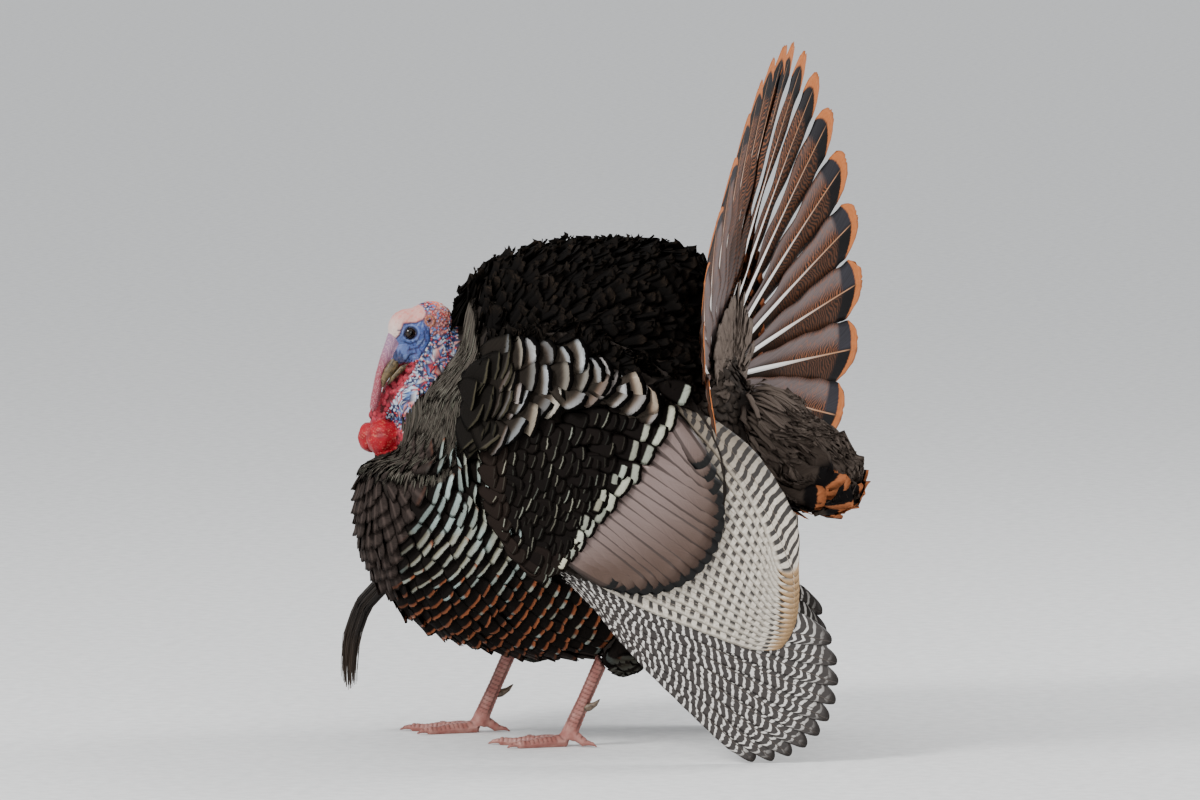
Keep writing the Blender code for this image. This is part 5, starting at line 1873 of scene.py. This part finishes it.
def bristle_blank(sides, cuts):
    """A closed tube: x and y round it from -1 to 1, and z along it from 0 to 1."""
    bm = bmesh.new()
    bmesh.ops.create_cone(bm, cap_ends=True, segments=sides, radius1=1, radius2=1, depth=1)
    upright = [e for e in bm.edges if abs(e.verts[0].co.z - e.verts[1].co.z) > 0.5]
    bmesh.ops.subdivide_edges(bm, edges=upright, cuts=cuts)
    bmesh.ops.translate(bm, verts=bm.verts, vec=(0, 0, 0.5))
    bmesh.ops.triangulate(bm, faces=bm.faces)
    return as_arrays(bm)


tube_points, tube_faces = bristle_blank(4, 8)
stops = np.linspace(0, 1, len(BEARD_LINE))
spin = rng.uniform(0, math.tau, BRISTLES)
from_middle = np.sqrt(rng.random(BRISTLES))
reach = rng.uniform(0.72, 1.0, BRISTLES) * (1 - 0.08 * from_middle)
wander = rng.normal(0, 0.0016, (BRISTLES, 2))
share = tube_points[None, :, 2] * reach[:, None]
middle = np.stack([np.interp(share, stops, BEARD_LINE[:, k]) for k in range(3)], -1)
ahead = unit(np.stack([np.interp(share + 0.05, stops, BEARD_LINE[:, k]) -
                       np.interp(share - 0.05, stops, BEARD_LINE[:, k]) for k in range(3)], -1))
over = np.cross(ahead, (0.0, 1.0, 0.0))
wide = np.interp(share, stops, BEARD_RADII) * from_middle[:, None] * (0.92 + 0.10 * share)
aside = np.cos(spin)[:, None] * wide + wander[:, :1] * share
upward = np.sin(spin)[:, None] * wide + wander[:, 1:] * share
thin = BRISTLE_RADIUS * (1.1 - 0.75 * tube_points[:, 2])
aside = aside + tube_points[:, 0] * thin
upward = upward + tube_points[:, 1] * thin
beard_places = middle + over * upward[..., None] + np.array((0, 1.0, 0)) * aside[..., None]
beard_shape = np.stack([tube_points[:, 0], tube_points[:, 2], tube_points[:, 1]], 1), tube_faces
beard_mesh = joined(beard_shape, beard_places, feather_tones(BRISTLES, 0.0, 0.0, 1.0))


def bristle_finish():
    finish = Finish("bristle", 0.5, Specular_IOR_Level=0.25)
    _, _, chance, _ = finish.tone()
    _, along = finish.vane()
    dark = finish.mix(chance, (0.006, 0.005, 0.0045), (0.026, 0.018, 0.013))
    finish.colour(along.rise(0.6, 1.0) * 0.6, dark, (0.060, 0.038, 0.024))
    finish.bump(finish.noise(finish.place(), 700.0), 0.0003, 0.4)
    return finish


show(beard_mesh, "beard_bristles", bristle_finish(), ["beard"])

# %% [markdown]
# ## Legs, feet and spurs
#
# A leg is covered in horny plates: a row of broad ones down the front of the shank and along the
# top of each toe, and small ones behind. The plates are raised from the melted leg by ridges
# across it, and the finish darkens the seams between them.

# %% Make the legs and the spurs
SHANK_LEAN = math.radians(24)
FOOT_PLACE = {"left": (-0.030, -0.062), "right": (-0.160, 0.062)}
PLATE = 0.0052  # height of one plate


def leg_finish():
    finish = Finish("leg_scale", 0.48, Specular_IOR_Level=0.3)
    seam = finish.stored("Seam")
    mottle = finish.noise(finish.place(), 90.0, 3.0)
    fine = finish.noise(finish.place(), 700.0, 2.0)
    plate = finish.mix(mottle.rise(0.35, 0.7), (0.30, 0.105, 0.085), (0.42, 0.20, 0.165))
    plate = finish.mix(fine * 0.35, plate, (0.16, 0.075, 0.065))
    finish.colour(seam * 0.8, plate, (0.050, 0.022, 0.018))
    finish.set("Roughness", 0.42 + seam * 0.3)
    finish.bump(fine, 0.0004, 0.4)
    return finish


leg_look = leg_finish()
spur_look = horn_finish("spur_horn", (0.030, 0.020, 0.014), (0.17, 0.12, 0.08), 90.0)
for side in SIDES:
    mesh = mesh_from(melted([f"shank_{side}"], 0.0014, 2, 0.0003))
    points, facing = coords(mesh), normals(mesh)
    fx, fy = FOOT_PLACE[side]
    x, y, z = points[:, 0] - fx, points[:, 1] - fy, points[:, 2]
    up = x * math.sin(SHANK_LEAN) + z * math.cos(SHANK_LEAN)
    out = np.hypot(x, y)
    shank = ease(up, 0.022, 0.030)
    count = np.where(shank > 0.5, up, out) / PLATE
    stagger = 0.5 * ease(np.abs(facing[:, 1]), 0.55, 0.75) * shank
    seam = hill((count + stagger) % 1 - 0.5, 0.13) * np.maximum(shank, ease(facing[:, 2], 0.1, 0.5))
    beside = hill(np.abs(facing[:, 1]) - 0.68, 0.10) * shank
    seam = np.maximum(seam, beside * 0.9)
    points = points + facing * (0.0003 - 0.0006 * seam)[:, None]
    points[:, 2] = np.maximum(points[:, 2], 0.0)
    mesh.vertices.foreach_set("co", points.ravel())
    mesh.attributes.new("Seam", "FLOAT", "POINT").data.foreach_set("value", seam.astype(np.float32))
    show(mesh, f"leg_{side}", leg_look, [f"shank_{side}"])
    spur = mesh_from(melted([f"spur_{side}"], 0.0009, 3, 0.0002))
    show(spur, f"spur_{side}_horn", spur_look, [f"spur_{side}"])

# %% [markdown]
# ## Dress the bird
#
# Every coat is one mesh. Each stands for the solids whose place it takes, and rides on the
# bird's one body, because a still model has no joints.

# %% Show the coats
contour, mantle_look, vent_look = contour_finish(), mantle_finish(), vent_finish()
wing_looks = {
    "primaries": primary_finish(), "secondaries": secondary_finish(), "panel": panel_finish(),
    "coverts": covert_finish(), "scapulars": scapular_finish(),
}
show(joined(BROAD_BLANK, breast_places, breast_tones), "breast_coat", contour)
show(joined(SMALL_BLANK, mantle_places, mantle_tones), "mantle_coat", mantle_look)
show(joined(SMALL_BLANK, rear_places, rear_tones), "rear_coat", mantle_look)
show(joined(HAIR_BLANK, hackle_places, hackle_tones), "hackles", hackle_finish())
for side in SIDES:
    for part in ("primaries", "secondaries"):
        show(wing_meshes[side, part], f"wing_{side}_{part}_coat", wing_looks[part],
             [f"wing_{side}_{part}"])
    for part in ("panel", "coverts", "scapulars"):
        show(wing_meshes[side, part], f"wing_{side}_{part}_coat", wing_looks[part])
    show(thigh_meshes[side], f"thigh_{side}_coat", contour)
show(fan_mesh, "tail_fan_coat", rectrix_finish(), ["tail_fan"])
show(tail_covert_mesh, "tail_covert_coat", tail_covert_finish(), ["tail_coverts"])
show(joined(SMALL_BLANK, vent_places, vent_tones), "undertail_coat", vent_look)
show(joined(BROAD_BLANK, long_places, long_tones), "undertail_long_coat", vent_look)
show(rump_mesh, "rump_down_coat", vent_look)

# %% [markdown]
# ## The studio
#
# The camera stands far off, a little above the bird's middle and a little towards its tail.

# %% Set the camera
CAMERA_TURN, CAMERA_RISE, CAMERA_AWAY = math.radians(11), math.radians(4.5), 12.0
FRAME_WIDTH, SENSOR_WIDTH = 1.38, 36  # what the picture spans, in metres, and the sensor, in mm
MIDDLE_HEIGHT = 0.3943
target = SHIFT + Vector((0, 0, MIDDLE_HEIGHT))
level = math.cos(CAMERA_RISE)
back = Vector((
    math.sin(CAMERA_TURN) * level, -math.cos(CAMERA_TURN) * level, math.sin(CAMERA_RISE)
))
camera_data = bpy.data.cameras.new("camera")
camera_data.sensor_width = SENSOR_WIDTH
camera_data.lens = SENSOR_WIDTH * CAMERA_AWAY / FRAME_WIDTH
camera_data.clip_end = 100
camera = new_object("camera", camera_data)
camera.location = target + back * CAMERA_AWAY
camera.rotation_mode = "QUATERNION"
camera.rotation_quaternion = (-back).to_track_quat("-Z", "Y")
bpy.context.scene.camera = camera
print("lens:", round(camera_data.lens, 1))

# %% [markdown]
# A pale floor, three soft lamps and a pale sky belong to the studio, not to the bird.

# %% Set the floor and the lights
FLOOR_HALF_WIDTH = 30
LAMPS = (
    ("key", (-2.2, -3.0, 3.2), 1.2, 210),  # name, place, size in metres, watts
    ("rim", (2.5, 1.5, 2.8), 1.5, 90),
    ("fill", (2.0, -3.5, 1.2), 2.5, 50),
)
SKY_COLOUR, SKY_STRENGTH = (0.93, 0.95, 0.98, 1), 0.95


def floor_finish():
    finish = Finish("floor_paint", 0.7)
    cloud = finish.noise(finish.place(), 60.0) * 0.3
    finish.colour(cloud, (0.86, 0.86, 0.85), (0, 0, 0))
    return finish


bm = bmesh.new()
bmesh.ops.create_grid(bm, x_segments=1, y_segments=1, size=FLOOR_HALF_WIDTH)
floor_mesh = mesh_from(bm, "floor")
floor_mesh.materials.append(floor_finish().material)
floor = new_object("floor", floor_mesh)

world = bpy.data.worlds.new("studio")
bpy.context.scene.world = world
world.use_nodes = True
sky = world.node_tree.nodes["Background"]
sky.inputs["Color"].default_value = SKY_COLOUR
sky.inputs["Strength"].default_value = SKY_STRENGTH
for name, place, size, power in LAMPS:
    light = bpy.data.lights.new(name, "AREA")
    light.size, light.energy = size, power
    lamp = new_object(name, light)
    lamp.location = place
    lamp.rotation_mode = "QUATERNION"
    lamp.rotation_quaternion = (Vector(place) - target).to_track_quat("Z", "Y")
print("lamps:", len(LAMPS))
